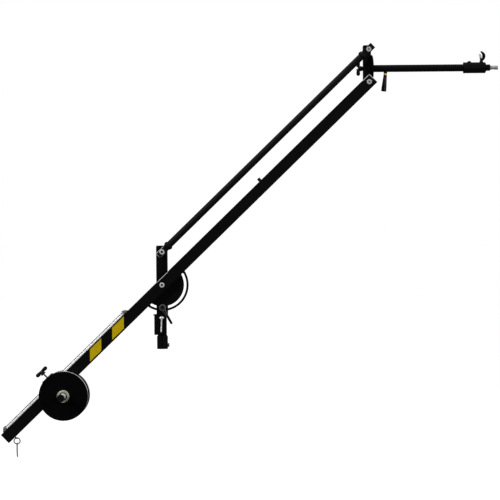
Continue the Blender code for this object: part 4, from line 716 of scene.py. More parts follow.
# A weld bead is a row of overlapping drops of metal along a path, each a little different.
weld_bead, given, result = node_tree("weld_bead", Spacing="Float", Drop="Float", Seed="Int")
bead_path = add(weld_bead, "GeometryNodeMeshToCurve", {"Mesh": given["Geometry"]}).outputs[0]
spaced = {"Curve": bead_path, "Length": given["Spacing"]}
bead_steps = add(weld_bead, "GeometryNodeResampleCurve", spaced, mode="LENGTH").outputs[0]
ball = {"Radius": given["Drop"], "Subdivisions": 2}
drop = add(weld_bead, "GeometryNodeMeshIcoSphere", ball).outputs["Mesh"]
limits = {0: (0.9, 0.9, 0.9), 1: (1.12, 1.12, 1.12), "Seed": given["Seed"]}
sizes = add(weld_bead, "FunctionNodeRandomValue", limits, data_type="FLOAT_VECTOR").outputs[0]
drop_places = {"Points": bead_steps, "Instance": drop, "Scale": sizes}
drops = add(weld_bead, "GeometryNodeInstanceOnPoints", drop_places).outputs[0]
close_tree(weld_bead, given, result, drops)


def bead(path, drop_radius, seed):
    """A weld bead along the path, under the black paint."""
    values = {"Spacing": drop_radius * 0.8, "Drop": drop_radius}
    values.update({"Seed": seed, "Finish": powder_coat})
    return grown(weld_bead, values, path)


POST_X = 0.003
POST_LEFT = POST_X - 0.0248
POST_RIGHT = POST_X + 0.0196
POST_HALF_DEPTH = 0.020
FOOT_BOTTOM = 0.1346
FOOT_TOP = 0.1386
POST_TOP = 0.4116
post = block(
    (POST_LEFT, -POST_HALF_DEPTH, FOOT_BOTTOM + 0.001), (POST_RIGHT, POST_HALF_DEPTH, POST_TOP),
    0.003, 5,
)
foot = block((POST_X - 0.0381, -0.022, FOOT_BOTTOM), (POST_RIGHT, 0.022, FOOT_TOP), 0.0006, 2)
post = boolean(post, foot, "UNION")
SEAM_OUT = 0.0004
seam = []
for side in (-1, 1):
    seam_y = side * (POST_HALF_DEPTH + SEAM_OUT)
    half_seam = [
        (POST_RIGHT - 0.003, seam_y, FOOT_TOP), (POST_LEFT + 0.002, seam_y, FOOT_TOP),
        (POST_LEFT - SEAM_OUT, side * (POST_HALF_DEPTH - 0.002), FOOT_TOP),
    ]
    seam += half_seam[::-side]
piece(
    "post_tube", combine(post, bead(seam, 0.0018, 3)), powder_coat, "swivel",
    ["post"],
)
moulded = coated(
    "moulded_black_plastic", (0.0042, 0.0042, 0.005), (0.014, 0.014, 0.015), 0.4, 0.16, spread=0.05,
    grain=2600.0, relief=0.00004, wear=0.2, patches=50.0,
)
CAP_BOTTOM = 0.4119
CAP_TOP = 0.4147
cap_flange = block(
    (POST_LEFT, -POST_HALF_DEPTH, CAP_BOTTOM), (POST_RIGHT, POST_HALF_DEPTH, CAP_TOP), 0.0011
)
cap_crown = block(
    (POST_LEFT + 0.004, -POST_HALF_DEPTH + 0.004, CAP_BOTTOM - 0.012),
    (POST_RIGHT - 0.004, POST_HALF_DEPTH - 0.004, CAP_TOP + 0.0005), 0.0009,
)
piece(
    "post_top_cap", boolean(cap_flange, cap_crown, "UNION"), moulded, "swivel",
    ["post_cap"],
)


# Pivot bolts, nuts, washers and spacers
# Four bright cap screws with knurled heads carry the beam and the link. Each goes through its
# post to a plated locknut, over ground thrust washers and black spacer tubes.
MAIN_BOLT = 0.008
LINK_BOLT = 0.006
BEAM_FRONT = -0.0677
BLADE_FRONT = -0.0507
POST_REAR = 0.0203
PIVOT_HEIGHT = 0.2577
LINK_HEIGHT = 0.3897
HEAD_PLACE = (0.836697, 0.0, 1.061387)
HEAD_LINK_HEIGHT = 1.193387


def locknut(across, bore, height):
    """A chamfered hexagon nut with the round collar of a locking ring."""
    flats = hexagon(across)
    circle = across / 2 * 1.01
    hexagon_height = height * 0.74

    def lower_chamfer(turn):
        return max(0.0, flats(turn) - circle) * 0.6

    def upper_chamfer(turn):
        return hexagon_height - lower_chamfer(turn)

    collar = across * 0.40
    profile = [
        (bore, 0.0005), (bore + 0.0005, 0.0), (circle, 0.0), (flats, lower_chamfer),
        (flats, upper_chamfer), (circle, hexagon_height), (collar, hexagon_height),
        (collar, height - 0.0012), (collar - 0.0004, height - 0.0004), (collar - 0.0012, height),
        (bore + 0.0008, height), (bore, height - 0.0008),
    ]
    return lathe(profile, 72)


BOLT_HEAD_RADIUS = 0.0104
BOLT_HEAD_HEIGHT = 0.007
BOLT_THREAD_LENGTH = 0.016
NUT_HEIGHT = 0.010
PIVOT_BOLT = (MAIN_BOLT, BEAM_FRONT, 0.101)
LINK_END_BOLT = (LINK_BOLT, BLADE_FRONT, 0.084)
POST_GREY = (0.50, 0.50, 0.50)
HEAD_GREY = (0.36, 0.36, 0.36)
BOLTS = (
    ("main_pivot{}", "main_pivot", PIVOT_BOLT, POST_X, PIVOT_HEIGHT, 0.0078, "swivel"),
    ("link{}_lower", "link_lower", LINK_END_BOLT, POST_X, LINK_HEIGHT, 0.0088, "swivel"),
    ("head_pivot{}", "head_pivot", PIVOT_BOLT, HEAD_PLACE[0], HEAD_PLACE[2], 0.0062, "head"),
    ("link{}_upper", "link_upper", LINK_END_BOLT, HEAD_PLACE[0], HEAD_LINK_HEIGHT, 0.0062, "head"),
)
for node, label, (radius, front, length), x, z, socket, body in BOLTS:
    on_post = body == "swivel"
    place = (x, front, z)
    grey = POST_GREY if on_post else HEAD_GREY
    steel = machined(f"{label}_bolt_steel", grey, 0.46, place, ALONG_Y, metallic=0.35)
    head_size = (BOLT_HEAD_RADIUS, BOLT_HEAD_HEIGHT, socket)
    screw = placed(
        cap_screw(radius, length, *head_size, steel, BOLT_THREAD_LENGTH), place, TOWARDS_FRONT
    )
    stands_for = [node.format("_bolt")]
    # The post's bolts have painted shade inside their sockets.
    inside = recess_painted_shade if on_post else plated
    piece(f"{label}_cap_screw", screw, steel, body, stands_for, second=inside)
    steel = machined(f"{label}_nut_steel", (0.40, 0.40, 0.40), 0.36, place, ALONG_Y)
    across = 2 * (radius + 0.0062) * math.cos(math.pi / 6)
    nut = placed(locknut(across, radius + 0.0003, NUT_HEIGHT), (x, POST_REAR, z), TOWARDS_REAR)
    piece(f"{label}_locknut", nut, steel, body, [node.format("_nut")])

POST_FRONT = -0.0203
MAIN_BORE = 0.0083
LINK_BORE = 0.0063
WASHERS = (
    ("main_thrust_washer", MAIN_BORE, 0.022, 0.0025, POST_X, PIVOT_HEIGHT, "swivel"),
    ("head_thrust_washer", MAIN_BORE, 0.0135, 0.0068, HEAD_PLACE[0], HEAD_PLACE[2], "head"),
)
SPACERS = (
    ("link_spacer_lower", LINK_BORE, 0.0103, 0.0238, POST_X, LINK_HEIGHT, "swivel"),
    ("link_spacer_upper", LINK_BORE, 0.0103, 0.0238, HEAD_PLACE[0], HEAD_LINK_HEIGHT, "head"),
)
for rows, coat, slot in ((WASHERS, plated, "dull_steel"), (SPACERS, powder_coat, "black_paint")):
    for node, bore, radius, thickness, x, z, body in rows:
        section = [(radius, thickness), (radius, 0.0), (bore, 0.0), (bore, thickness)]
        ring = turned(section, 0.0004, 96, 2, (x, POST_FRONT, z), TOWARDS_FRONT)
        piece(f"{node}_turned", ring, coat, body, [node])


# Tilt brake
# A moulded clamping lever on the post's lower bolt squeezes the quadrant plate against a rubber
# faced pad. Its round hub has a steel screw in the middle, and its blade tapers to the tip.
HUB_PLACE = (POST_X, -0.0274, 0.1665)
HUB_RADIUS = 0.0135
HUB_LENGTH = 0.018
BLADE_ANGLE = math.radians(-60.5)
BLADE_REACH = 0.076
BLADE_LEVEL = 0.012
hub_profile = [
    (0.0, HUB_LENGTH - 0.0016), (0.0062, HUB_LENGTH - 0.0016), (0.0068, HUB_LENGTH),
    (0.0098, HUB_LENGTH), (HUB_RADIUS, HUB_LENGTH - 0.0034), (HUB_RADIUS, 0.0), (0.0, 0.0),
]
hub = turned(hub_profile, 0.0007, 96, 2, turn=TOWARDS_FRONT)
BLADE_SECTION = ((1.0, -1.0), (1.0, 0.2), (0.52, 1.0), (-0.52, 1.0), (-1.0, 0.2), (-1.0, -1.0))
blade_steps = 14
blade_path = []
blade_widths = []
blade_heights = []
for step in range(blade_steps + 1):
    share = step / blade_steps
    reach = 0.004 + (BLADE_REACH - 0.004 - 0.0030) * share
    blade_path.append((reach * math.cos(BLADE_ANGLE), -BLADE_LEVEL, reach * math.sin(BLADE_ANGLE)))
    blade_widths.append(0.0100 - 0.0012 * share + 0.026 * max(0.0, 0.26 - share))
    blade_heights.append(0.0074 - 0.0014 * share + 0.010 * max(0.0, 0.2 - share))
blade_side = (-math.sin(BLADE_ANGLE), 0.0, math.cos(BLADE_ANGLE))
blade = swept(blade_path, blade_widths, blade_heights, blade_side, ends=0.7, section=BLADE_SECTION)
brake_lever = boolean(hub, blade, "UNION")
brake_lever = drilled(brake_lever, LEVER_HOLE, (0, 0.001, 0), 0.0165, TOWARDS_FRONT)


# Front-facing chamfers near the hub take a grey finish: a painted highlight along the lever's
# edges.
def lever_chamfer(middle, normal):
    return -0.93 < normal.y < -0.3 and middle.y < -0.008 and middle.xz.length < 0.040


brake_lever = mark(brake_lever, lever_chamfer)
# A grey moulding finish that carries the painted highlight on the lever's chamfers.
lever_painted_highlight_grey = coated(
    "painted_highlight_grey_moulding", (0.13, 0.14, 0.14), (0.3, 0.3, 0.3), 0.45, 0.4, spread=0.08,
    grain=1600.0, relief=0.00004, wear=0.4, patches=80.0,
)
piece(
    "brake_clamp_lever", brake_lever, moulded, "brake_lever", ["brake_lever"],
    Matrix.Translation(HUB_PLACE), lever_painted_highlight_grey,
)
button_steel = machined("brake_button_steel", (0.07, 0.07, 0.075), 0.32, HUB_PLACE, ALONG_Y)
button_profile = [(0.0, 0.0162), (0.0058, 0.0162), (0.0058, 0.0140), (0.0, 0.0140)]
button = turned(button_profile, 0.0006, place=HUB_PLACE, turn=TOWARDS_FRONT)
piece("brake_lever_screw", button, button_steel, "brake_lever")
pad_rubber = coated(
    "black_rubber_skin", (0.014, 0.014, 0.014), (0.03, 0.03, 0.03), 0.78, 0.25, spread=0.08,
    grain=1800.0, relief=0.00008, patches=90.0,
)
PAD_RADIUS = 0.0125
PAD_THICKNESS = 0.0025
pad_section = [
    (PAD_RADIUS, PAD_THICKNESS), (PAD_RADIUS, 0.0), (LEVER_HOLE, 0.0), (LEVER_HOLE, PAD_THICKNESS)
]
pad_place = (HUB_PLACE[0], POST_FRONT, HUB_PLACE[2])
pad = turned(pad_section, 0.0003, 96, 2, pad_place, TOWARDS_FRONT)
piece("brake_friction_pad", pad, pad_rubber, "swivel", ["brake_pad"])
dome_profile = [
    (0.0, 0.006), (0.0042, 0.0057), (0.0075, 0.0043), (0.0096, 0.0019), (0.010, 0.0008),
    (0.010, 0.0), (0.0045, 0.0), (0.0045, -0.0625), (0.0, -0.0625),
]
dome = placed(lathe(dome_profile), (HUB_PLACE[0], POST_REAR, HUB_PLACE[2]), TOWARDS_REAR)
brake_bolt_steel = machined("brake_bolt_steel", (0.40, 0.40, 0.41), 0.35, HUB_PLACE, ALONG_Y)
piece("brake_coach_bolt", dome, brake_bolt_steel, "swivel", ["brake_bolt"])


# Beam
# A rectangular steel tube, 45 by 40 mm, cut square, closed and powder coated. Its rear end takes a
# moulded cap, and its front face two yellow hazard tapes with upright ends.
BOOM_ANGLE = math.radians(43.95)
BEAM_Y = -0.0474
BOOM = Matrix.Translation((POST_X, BEAM_Y, PIVOT_HEIGHT)) @ Matrix.Rotation(-BOOM_ANGLE, 4, "Y")
BEAM_START = -0.8747
BEAM_END = 1.1805
BEAM_HALF_WIDTH = 0.020
BEAM_HALF_DEPTH = 0.0225
BEAM_CORNER = 0.0024


def rounded_rectangle(half_width, half_height, radius, steps=5):
    """The outline of a rectangle with rounded corners, about the origin."""
    corners = [
        (half_width, -half_height), (half_width, half_height), (-half_width, half_height),
        (-half_width, -half_height),
    ]
    return eased(corners, radius, steps, True)


def extruded(section, start, end, edge):
    """A section in the YZ plane drawn out along X, with its end edges broken."""
    shape = bmesh.new()
    rings = []
    steps = ((start, 1 - edge), (start + edge, 1.0), (end - edge, 1.0), (end, 1 - edge))
    for x, share in steps:
        inset = 0.0 if share == 1.0 else edge
        ring = []
        for y, z in section:
            pull_y = y - math.copysign(min(inset, abs(y)), y)
            pull_z = z - math.copysign(min(inset, abs(z)), z)
            ring.append(shape.verts.new((x, pull_y, pull_z)))
        rings.append(ring)
    join_rings(shape, rings)
    shape.faces.new(rings[0])
    shape.faces.new(rings[-1])
    return shape


# Rim rub and highlight is a bright line along the border of a flat bar near its joint: partly paint
# rubbed down to the metal by neighbouring parts, partly a painted highlight on the rounded edge.
RUB_AND_HIGHLIGHT_LINE = 0.0027
RUBBED_METAL_AND_HIGHLIGHT = (0.38, 0.38, 0.38)
ALONG_BEAM = tuple(BOOM.to_3x3() @ Vector((1, 0, 0)))
UP_FROM_BEAM = tuple(BOOM.to_3x3() @ Vector((0, 0, 1)))
rim_sizes = {"Middle": ORIGIN, "Along": ALONG_X, "Up": ALONG_Z, "Half Length": 1.0}
rim_sizes.update({"Half Height": 0.02, "Line": RUB_AND_HIGHLIGHT_LINE, "Joint": ORIGIN, "Reach": 0.06})
rim_rub_and_highlight, given, result = node_group("rim_rub_and_highlight", rim_sizes, ("Mask",))
where = add(rim_rub_and_highlight, "ShaderNodeTexCoord").outputs["Object"]
offset = vector(rim_rub_and_highlight, "SUBTRACT", where, given["Middle"])
overhangs = []
for axis, half in (("Along", "Half Length"), ("Up", "Half Height")):
    share = number(rim_rub_and_highlight, "ABSOLUTE", vector(rim_rub_and_highlight, "DOT_PRODUCT", offset, given[axis]))
    overhangs.append(number(rim_rub_and_highlight, "SUBTRACT", share, given[half]))
within = number(rim_rub_and_highlight, "ADD", number(rim_rub_and_highlight, "MAXIMUM", *overhangs), given["Line"])
away = vector(rim_rub_and_highlight, "DISTANCE", where, given["Joint"])
fading = number(rim_rub_and_highlight, "DIVIDE", away, given["Reach"])
uneven = number(rim_rub_and_highlight, "ADD", fading, noise(rim_rub_and_highlight, where, 260.0, 3.0))
near_joint = ramp(rim_rub_and_highlight, uneven, 1.2, 1.5, 1.0, 0.0)
rub_and_highlight = number(rim_rub_and_highlight, "MULTIPLY", ramp(rim_rub_and_highlight, within, -0.0002, 0.0003), near_joint)
rim_rub_and_highlight.links.new(rub_and_highlight, result["Mask"])


def rubbed_and_highlit(paint, name, middle, half_length, half_height, reach, joints):
    """A coat that is worn bright, and carries a painted highlight, along a flat bar's border near
    its joints.
    """
    made = paint.copy()
    made.name = name
    tree = made.node_tree
    base = tree.nodes["Principled BSDF"].inputs["Base Color"]
    colour = base.links[0].from_socket
    bar = {"Middle": middle, "Along": ALONG_BEAM, "Up": UP_FROM_BEAM, "Half Length": half_length}
    bar.update({"Half Height": half_height, "Line": RUB_AND_HIGHLIGHT_LINE, "Reach": reach})
    for joint in joints:
        rim = add(tree, "ShaderNodeGroup", {**bar, "Joint": joint}, node_tree=rim_rub_and_highlight)
        colour = blended(tree, rim.outputs["Mask"], colour, RUBBED_METAL_AND_HIGHLIGHT)
    tree.links.new(colour, base)
    return made


# The beam's upper front edge near each joint is lightened: rubbed paint and a painted highlight.
rub_and_highlight_joints = []
for u in (0.024, BEAM_END - 0.008):
    rub_and_highlight_joints.append(tuple(BOOM @ Vector((u, -BEAM_HALF_WIDTH, BEAM_HALF_DEPTH))))
beam_middle = tuple(BOOM @ Vector(((BEAM_START + BEAM_END) / 2, 0, 0)))
beam_half_length = (BEAM_END - BEAM_START) / 2
beam_coat = rubbed_and_highlit(
    powder_coat, "beam_powder_coat", beam_middle, beam_half_length, BEAM_HALF_DEPTH, 0.034,
    rub_and_highlight_joints,
)
beam_section = rounded_rectangle(BEAM_HALF_WIDTH, BEAM_HALF_DEPTH, BEAM_CORNER)
beam = extruded(beam_section, BEAM_START, BEAM_END, 0.0006)
piece("beam_tube", beam, beam_coat, "boom", ["beam"], BOOM)
REAR_CAP_START = -0.878
rear_cap = extruded(beam_section, REAR_CAP_START, BEAM_START - 0.0003, 0.0009)
rear_crown = block((REAR_CAP_START - 0.0005, -0.015, -0.0175), (-0.874, 0.015, 0.0175), 0.0008)
piece(
    "beam_rear_end_cap", boolean(rear_cap, rear_crown, "UNION"), moulded, "boom",
    ["beam_rear_cap"], BOOM,
)

# Hazard tape is a yellow reflective film with a fine honeycomb under its clear face.
TAPE_YELLOW = (0.52, 0.40, 0.003)
TAPE_CELL = 0.0011
TAPE_THICKNESS = 0.0002
TAPE_SHADE = (0.31, 0.235, 0.002)
hazard_tape, tape_tree = finish("hazard_tape_yellow", TAPE_YELLOW, 0.0, 0.15)
where = add(tape_tree, "ShaderNodeTexCoord").outputs["Object"]
honeycomb = {"Vector": where, "Scale": 1 / TAPE_CELL, "Randomness": 0.25}
cells = add(tape_tree, "ShaderNodeTexVoronoi", honeycomb, feature="DISTANCE_TO_EDGE").outputs[0]
cell_walls = ramp(tape_tree, cells, 0.02, 0.14, 1.0, 0.0)
film = add(tape_tree, "ShaderNodeGroup", {"Coarse": 70.0}, node_tree=surface_grain).outputs
tape_sheen = ramp(tape_tree, film["Patches"], 0.0, 1.0, 0.3, 0.5)
vary(tape_tree, blended(tape_tree, cell_walls, TAPE_YELLOW, TAPE_SHADE), tape_sheen)
TAPE_TOP = 0.0178
TAPE_BOTTOM = -0.0174
TAPE_SPANS = ((-0.2787, -0.2127), (-0.4027, -0.3388))
upright_slope = math.tan(BOOM_ANGLE)
for index, (start, end) in enumerate(TAPE_SPANS):
    ends = ((start, TAPE_BOTTOM), (end, TAPE_BOTTOM), (end, TAPE_TOP), (start, TAPE_TOP))
    outline = eased([(u + w * upright_slope, w) for u, w in ends], 0.0008, 3, True)
    tape = bmesh.new()
    loops = []
    for y in (-BEAM_HALF_WIDTH - TAPE_THICKNESS, -BEAM_HALF_WIDTH + 0.00005):
        loops.append([tape.verts.new((u, y, w)) for u, w in outline])
        tape.faces.new(loops[-1])
    join_rings(tape, loops)
    piece(f"hazard_tape_{index + 1}", tape, hazard_tape, "boom", (), BOOM)


# Quadrant plate
# A laser cut half disc behind the beam, with a curved slot in which the brake bolt runs. It is
# welded to the beam's lower edge and painted with it.
def slab(outlines, thickness, edge):
    """A flat plate about its own XY plane. Its outlines after the first are holes."""
    curve = bpy.data.curves.new("outline", "CURVE")
    curve.dimensions = "2D"
    curve.fill_mode = "BOTH"
    curve.extrude = thickness / 2
    for outline in outlines:
        spline = curve.splines.new("POLY")
        spline.points.add(len(outline) - 1)
        for point, (x, y) in zip(spline.points, outline):
            point.co = (x, y, 0.0, 1.0)
        spline.use_cyclic_u = True
    guide = bpy.data.objects.new("guide", curve)
    scene.collection.objects.link(guide)
    shape = evaluated(guide)
    bmesh.ops.remove_doubles(shape, verts=shape.verts, dist=0.00001)
    bmesh.ops.recalc_face_normals(shape, faces=shape.faces)
    round_edges(shape, edge)
    return shape


def arc(centre, radius, start, end, steps):
    """Points on an arc in a plate's own plane."""
    points = []
    for step in range(steps + 1):
        turn = start + (end - start) * step / steps
        points.append((centre[0] + radius * math.cos(turn), centre[1] + radius * math.sin(turn)))
    return points


PLATE_RADIUS = 0.10465
PLATE_TOP = 0.018
PLATE_THICKNESS = 0.004
SLOT_RADIUS = 0.0912
SLOT_HALF_WIDTH = 0.00525
SLOT_HALF_ANGLE = math.radians(73)
PLATE_MIDDLE = 0.0223
chord = math.asin(PLATE_TOP / PLATE_RADIUS)
plate_outline = arc((0, 0), PLATE_RADIUS, math.pi - chord, 2 * math.pi + chord, 120)
first = -math.pi / 2 - SLOT_HALF_ANGLE
last = -math.pi / 2 + SLOT_HALF_ANGLE
first_end = (SLOT_RADIUS * math.cos(first), SLOT_RADIUS * math.sin(first))
last_end = (SLOT_RADIUS * math.cos(last), SLOT_RADIUS * math.sin(last))
slot_outline = arc((0, 0), SLOT_RADIUS + SLOT_HALF_WIDTH, first, last, 96)
slot_outline += arc(last_end, SLOT_HALF_WIDTH, last, last + math.pi, 16)[1:-1]
slot_outline += arc((0, 0), SLOT_RADIUS - SLOT_HALF_WIDTH, last, first, 96)
slot_outline += arc(first_end, SLOT_HALF_WIDTH, first + math.pi, first + 2 * math.pi, 16)[1:-1]
bolt_hole = arc((0, 0), MAIN_BORE, 0.0, 2 * math.pi * 47 / 48, 47)
quadrant = slab([plate_outline, slot_outline, bolt_hole], PLATE_THICKNESS, 0.0005)
quadrant = placed(quadrant, (0, PLATE_MIDDLE, 0), TOWARDS_FRONT)
WELD_HALF_LENGTH = 0.076
weld_line = [(x, 0.0198, -BEAM_HALF_DEPTH - 0.0002) for x in (-WELD_HALF_LENGTH, WELD_HALF_LENGTH)]
piece(
    "quadrant", combine(quadrant, bead(weld_line, 0.0019, 8)), powder_coat, "boom",
    ["quadrant_plate"], BOOM,
)


# Guide rail and its end clips
# A drawn aluminium bar along the top of the beam with a groove down each side, on which the
# carriage is clamped. A pressed zinc ramp clip, held by one screw, stops each end.
RAIL_START = -0.848
RAIL_END = -0.188
RAIL_BOTTOM = 0.0228
RAIL_HEIGHT = 0.0115
RAIL_HALF_WIDTH = 0.007
rail_half_section = [
    (RAIL_HALF_WIDTH, RAIL_BOTTOM), (RAIL_HALF_WIDTH, RAIL_BOTTOM + 0.0070),
    (RAIL_HALF_WIDTH - 0.0011, RAIL_BOTTOM + 0.0076),
    (RAIL_HALF_WIDTH - 0.0011, RAIL_BOTTOM + 0.0084), (RAIL_HALF_WIDTH, RAIL_BOTTOM + 0.0090),
    (RAIL_HALF_WIDTH, RAIL_BOTTOM + RAIL_HEIGHT),
]
rail_section = rail_half_section + [(-y, z) for y, z in reversed(rail_half_section)]
rail = bmesh.new()
rail_ends = []
for x in (RAIL_START, RAIL_END):
    rail_ends.append([rail.verts.new((x, y, z)) for y, z in eased(rail_section, 0.0009, 3, True)])
    rail.faces.new(rail_ends[-1])
join_rings(rail, rail_ends)
RAIL_SILVER = (0.93, 0.93, 0.93)
RAIL_TOP_PAINTED_SHADE = (0.18, 0.18, 0.185)
drawn_aluminium, drawn_tree = finish("drawn_aluminium", RAIL_SILVER, 0.25, 0.5)
where = add(drawn_tree, "ShaderNodeTexCoord").outputs["Object"]
along_bar = {"Vector": where, "Rotation": (0.0, BOOM_ANGLE, 0.0)}
along = add(drawn_tree, "ShaderNodeMapping", along_bar).outputs[0]
stretched = {"Vector": along, "Scale": (6.0, 1800.0, 1800.0)}
stretch = add(drawn_tree, "ShaderNodeMapping", stretched).outputs[0]
draw_lines = noise(drawn_tree, stretch, 1.0, 3.0)
# Above the side grooves the rail is dark grey: painted shade along its rounded top edge.
offset = vector(drawn_tree, "SUBTRACT", where, tuple(BOOM.translation))
height = vector(drawn_tree, "DOT_PRODUCT", offset, UP_FROM_BEAM)
top_painted_shade = ramp(drawn_tree, height, RAIL_BOTTOM + 0.0076, RAIL_BOTTOM + 0.0084)
rail_tone = blended(drawn_tree, top_painted_shade, RAIL_SILVER, RAIL_TOP_PAINTED_SHADE)
rail_sheen = ramp(drawn_tree, draw_lines, 0.3, 0.7, 0.3, 0.5)
vary(drawn_tree, rail_tone, rail_sheen, draw_lines, 0.00003)
piece("guide_rail_bar", rail, drawn_aluminium, "boom", ["guide_rail"], BOOM)
CLIP_HALF_WIDTH = 0.0113
CLIP_LENGTH = 0.021
CLIP_TOP_LENGTH = 0.008
CLIP_TOE_HEIGHT = 0.003
CLIP_TOP = RAIL_BOTTOM + RAIL_HEIGHT + 0.0033
CLIP_SCREW = ((0.0, 0.0016), (0.0022, 0.0015), (0.0034, 0.0008), (0.0036, 0.0), (0.0, -0.002))
POCKET_PLAY = 0.0003
RAMP_ANGLE = math.atan2(0.0118, 0.013)
pressed_zinc = machined(
    "pressed_zinc_clip", (0.30, 0.29, 0.27), 0.5, (0, BEAM_Y, 0), ALONG_Y, 1500.0
)
for label, end, outwards in (("rear", RAIL_START, -1), ("front", RAIL_END, 1)):
    inner = end - outwards * 0.004
    foot_end = inner + outwards * CLIP_LENGTH
    clip_outline = [
        (inner, RAIL_BOTTOM), (foot_end, RAIL_BOTTOM), (foot_end, RAIL_BOTTOM + CLIP_TOE_HEIGHT),
        (inner + outwards * CLIP_TOP_LENGTH, CLIP_TOP), (inner, CLIP_TOP),
    ]
    clip = slab([eased(clip_outline, 0.0009, 3, True)], 2 * CLIP_HALF_WIDTH, 0.0008)
    clip = placed(clip, turn=TOWARDS_FRONT)
    low_x, high_x = sorted((inner - outwards * 0.004, end + outwards * POCKET_PLAY))
    pocket_half_width = RAIL_HALF_WIDTH + POCKET_PLAY
    pocket = block(
        (low_x, -pocket_half_width, RAIL_BOTTOM - 0.003),
        (high_x, pocket_half_width, RAIL_BOTTOM + RAIL_HEIGHT + POCKET_PLAY), 0.0002, 1,
    )
    clip = boolean(clip, pocket, "DIFFERENCE")
    stands_for = [f"rail_clip_{label}"]
    piece(f"rail_{label}_ramp_clip", clip, pressed_zinc, "boom", stands_for, BOOM)
    screw_place = (inner + outwards * 0.0145, 0, RAIL_BOTTOM + 0.0088)
    screw_head = placed(lathe(CLIP_SCREW, 32), screw_place, (0, outwards * RAMP_ANGLE, 0))
    piece(f"rail_{label}_clip_screw", screw_head, plated, "boom", (), BOOM)


# Link buffer
# A turned rubber stop pressed into the top of the beam, which the link meets when folded.
buffer_profile = [
    (0.0, 0.0125), (0.0063, 0.0125), (0.0063, 0.0102), (0.0055, 0.0092), (0.0063, 0.0080),
    (0.0063, 0.0), (0.003, 0.0), (0.003, -0.0034), (0.0, -0.0034),
]
BUFFER_PLACE = (0.572, 0, RAIL_BOTTOM)
rubber_stop = turned(buffer_profile, 0.0008, place=BUFFER_PLACE)
piece("link_rubber_stop", rubber_stop, pad_rubber, "boom", ["link_buffer"], BOOM)


# Lug, ring and safety pin
# A bent wire lug under the rear end of the beam carries a plain ring, and a wire safety pin hangs
# from it by its eye. All are plated spring steel.
RING_PLACE = (-0.582811, BEAM_Y, -0.352861)
PIN_PLACE = (-0.582811, BEAM_Y, -0.373361)
spring_steel = machined("plated_spring_steel", (0.15, 0.15, 0.15), 0.34, RING_PLACE, ALONG_Y, 500.0)
LUG_X = -0.8455
LUG_TOP = -0.0175
LUG_BOTTOM = -0.033
LUG_BEND = 0.006
WIRE = 0.003
lug_bend = arc((0, LUG_BOTTOM + LUG_BEND), LUG_BEND, 0.0, -math.pi, 20)
lug_path = [(LUG_X, -LUG_BEND, LUG_TOP)]
lug_path += [(LUG_X, -y, z) for y, z in lug_bend]
lug_path += [(LUG_X, LUG_BEND, LUG_TOP)]
lug = swept(lug_path, WIRE, WIRE, ALONG_X, 20)
piece("ring_wire_lug", lug, spring_steel, "boom", ["ring_lug"], BOOM)
RING_DROP = 0.0084
RING_RADIUS = 0.0121
RING_WIRE = 0.0038
ring_path = arc((0, 0), RING_RADIUS, 0, 2 * math.pi * 63 / 64, 63)
ring_path = [(x, 0, z - RING_DROP) for x, z in ring_path]
ring = swept(ring_path, RING_WIRE, RING_WIRE, ALONG_Y, 20, closed=True)
piece(
    "hanging_ring", ring, spring_steel, "pin_ring", ["pin_ring"],
    Matrix.Translation(RING_PLACE),
)
EYE_DROP = 0.0011
EYE_RADIUS = 0.0048
eye_path = arc((0, 0), EYE_RADIUS, 0, 2 * math.pi * 39 / 40, 39)
eye_path = [(0, y, z - EYE_DROP) for y, z in eye_path]
eye = swept(eye_path, WIRE, WIRE, ALONG_X, 16, closed=True)
shank_path = [
    (0, 0, -0.0059), (0, 0, -0.0200), (0, 0, -0.0330), (0.0004, 0, -0.0400), (0.0012, 0, -0.0470),
    (0.0025, 0, -0.0526),
]
shank_sizes = [0.0046, 0.0046, 0.0046, 0.0046, 0.0042, 0.0034]
pin = combine(eye, swept(shank_path, shank_sizes, shank_sizes, ALONG_Y, 20))
piece(
    "wire_safety_pin", pin, spring_steel, "safety_pin", ["safety_pin"],
    Matrix.Translation(PIN_PLACE),
)


# Carriage
# A steel bracket that straddles the beam: a top plate with two welded cheeks that end in bosses
# for the axle. Nylon glides keep it off the paint.
CARRIAGE = BOOM @ Matrix.Translation((-0.588, 0, 0))
CARRIAGE_OUTSIDE = 0.0248
ROOF_BOTTOM = 0.0535
ROOF_TOP = 0.0575
AXLE_HEIGHT = -0.0415
BOSS_RADIUS = 0.0178
CHEEK_HALF = 0.017
AXLE_BORE = 0.0128
CLAMP_BORE = 0.0033
side_angle = math.acos(CHEEK_HALF / BOSS_RADIUS)
cheek_start = math.pi + side_angle
cheek_end = 2 * math.pi - side_angle
cheek_outline = arc((0, AXLE_HEIGHT), BOSS_RADIUS, cheek_start, cheek_end, 32)
cheek_outline += [(CHEEK_HALF, ROOF_TOP - 0.001), (-CHEEK_HALF, ROOF_TOP - 0.001)]
bracket = block(
    (-0.025, -CARRIAGE_OUTSIDE, ROOF_BOTTOM), (0.025, CARRIAGE_OUTSIDE, ROOF_TOP), 0.0012
)
for side in (-1, 1):
    cheek = placed(slab([cheek_outline], 0.004, 0.0005), (0, side * 0.0228, 0), TOWARDS_FRONT)
    bracket = boolean(bracket, cheek, "UNION")
bracket = drilled(bracket, AXLE_BORE, (0, 0.05, AXLE_HEIGHT), 0.1, TOWARDS_FRONT, 72)
bracket = drilled(bracket, CLAMP_BORE, (0, 0, 0.04), 0.03, (0, 0, 0))
bracket_shells = [bracket]
for side in (-1, 1):
    for end in (-1, 1):
        seam_z = ROOF_BOTTOM - 0.0002
        corner_seam = [(end * CHEEK_HALF, side * y, seam_z) for y in (0.0212, 0.0242)]
        bracket_shells.append(bead(corner_seam, 0.0014, 20 + end))
piece(
    "carriage_weldment", combine(*bracket_shells), powder_coat, "carriage",
    ["carriage_bracket"], CARRIAGE,
)
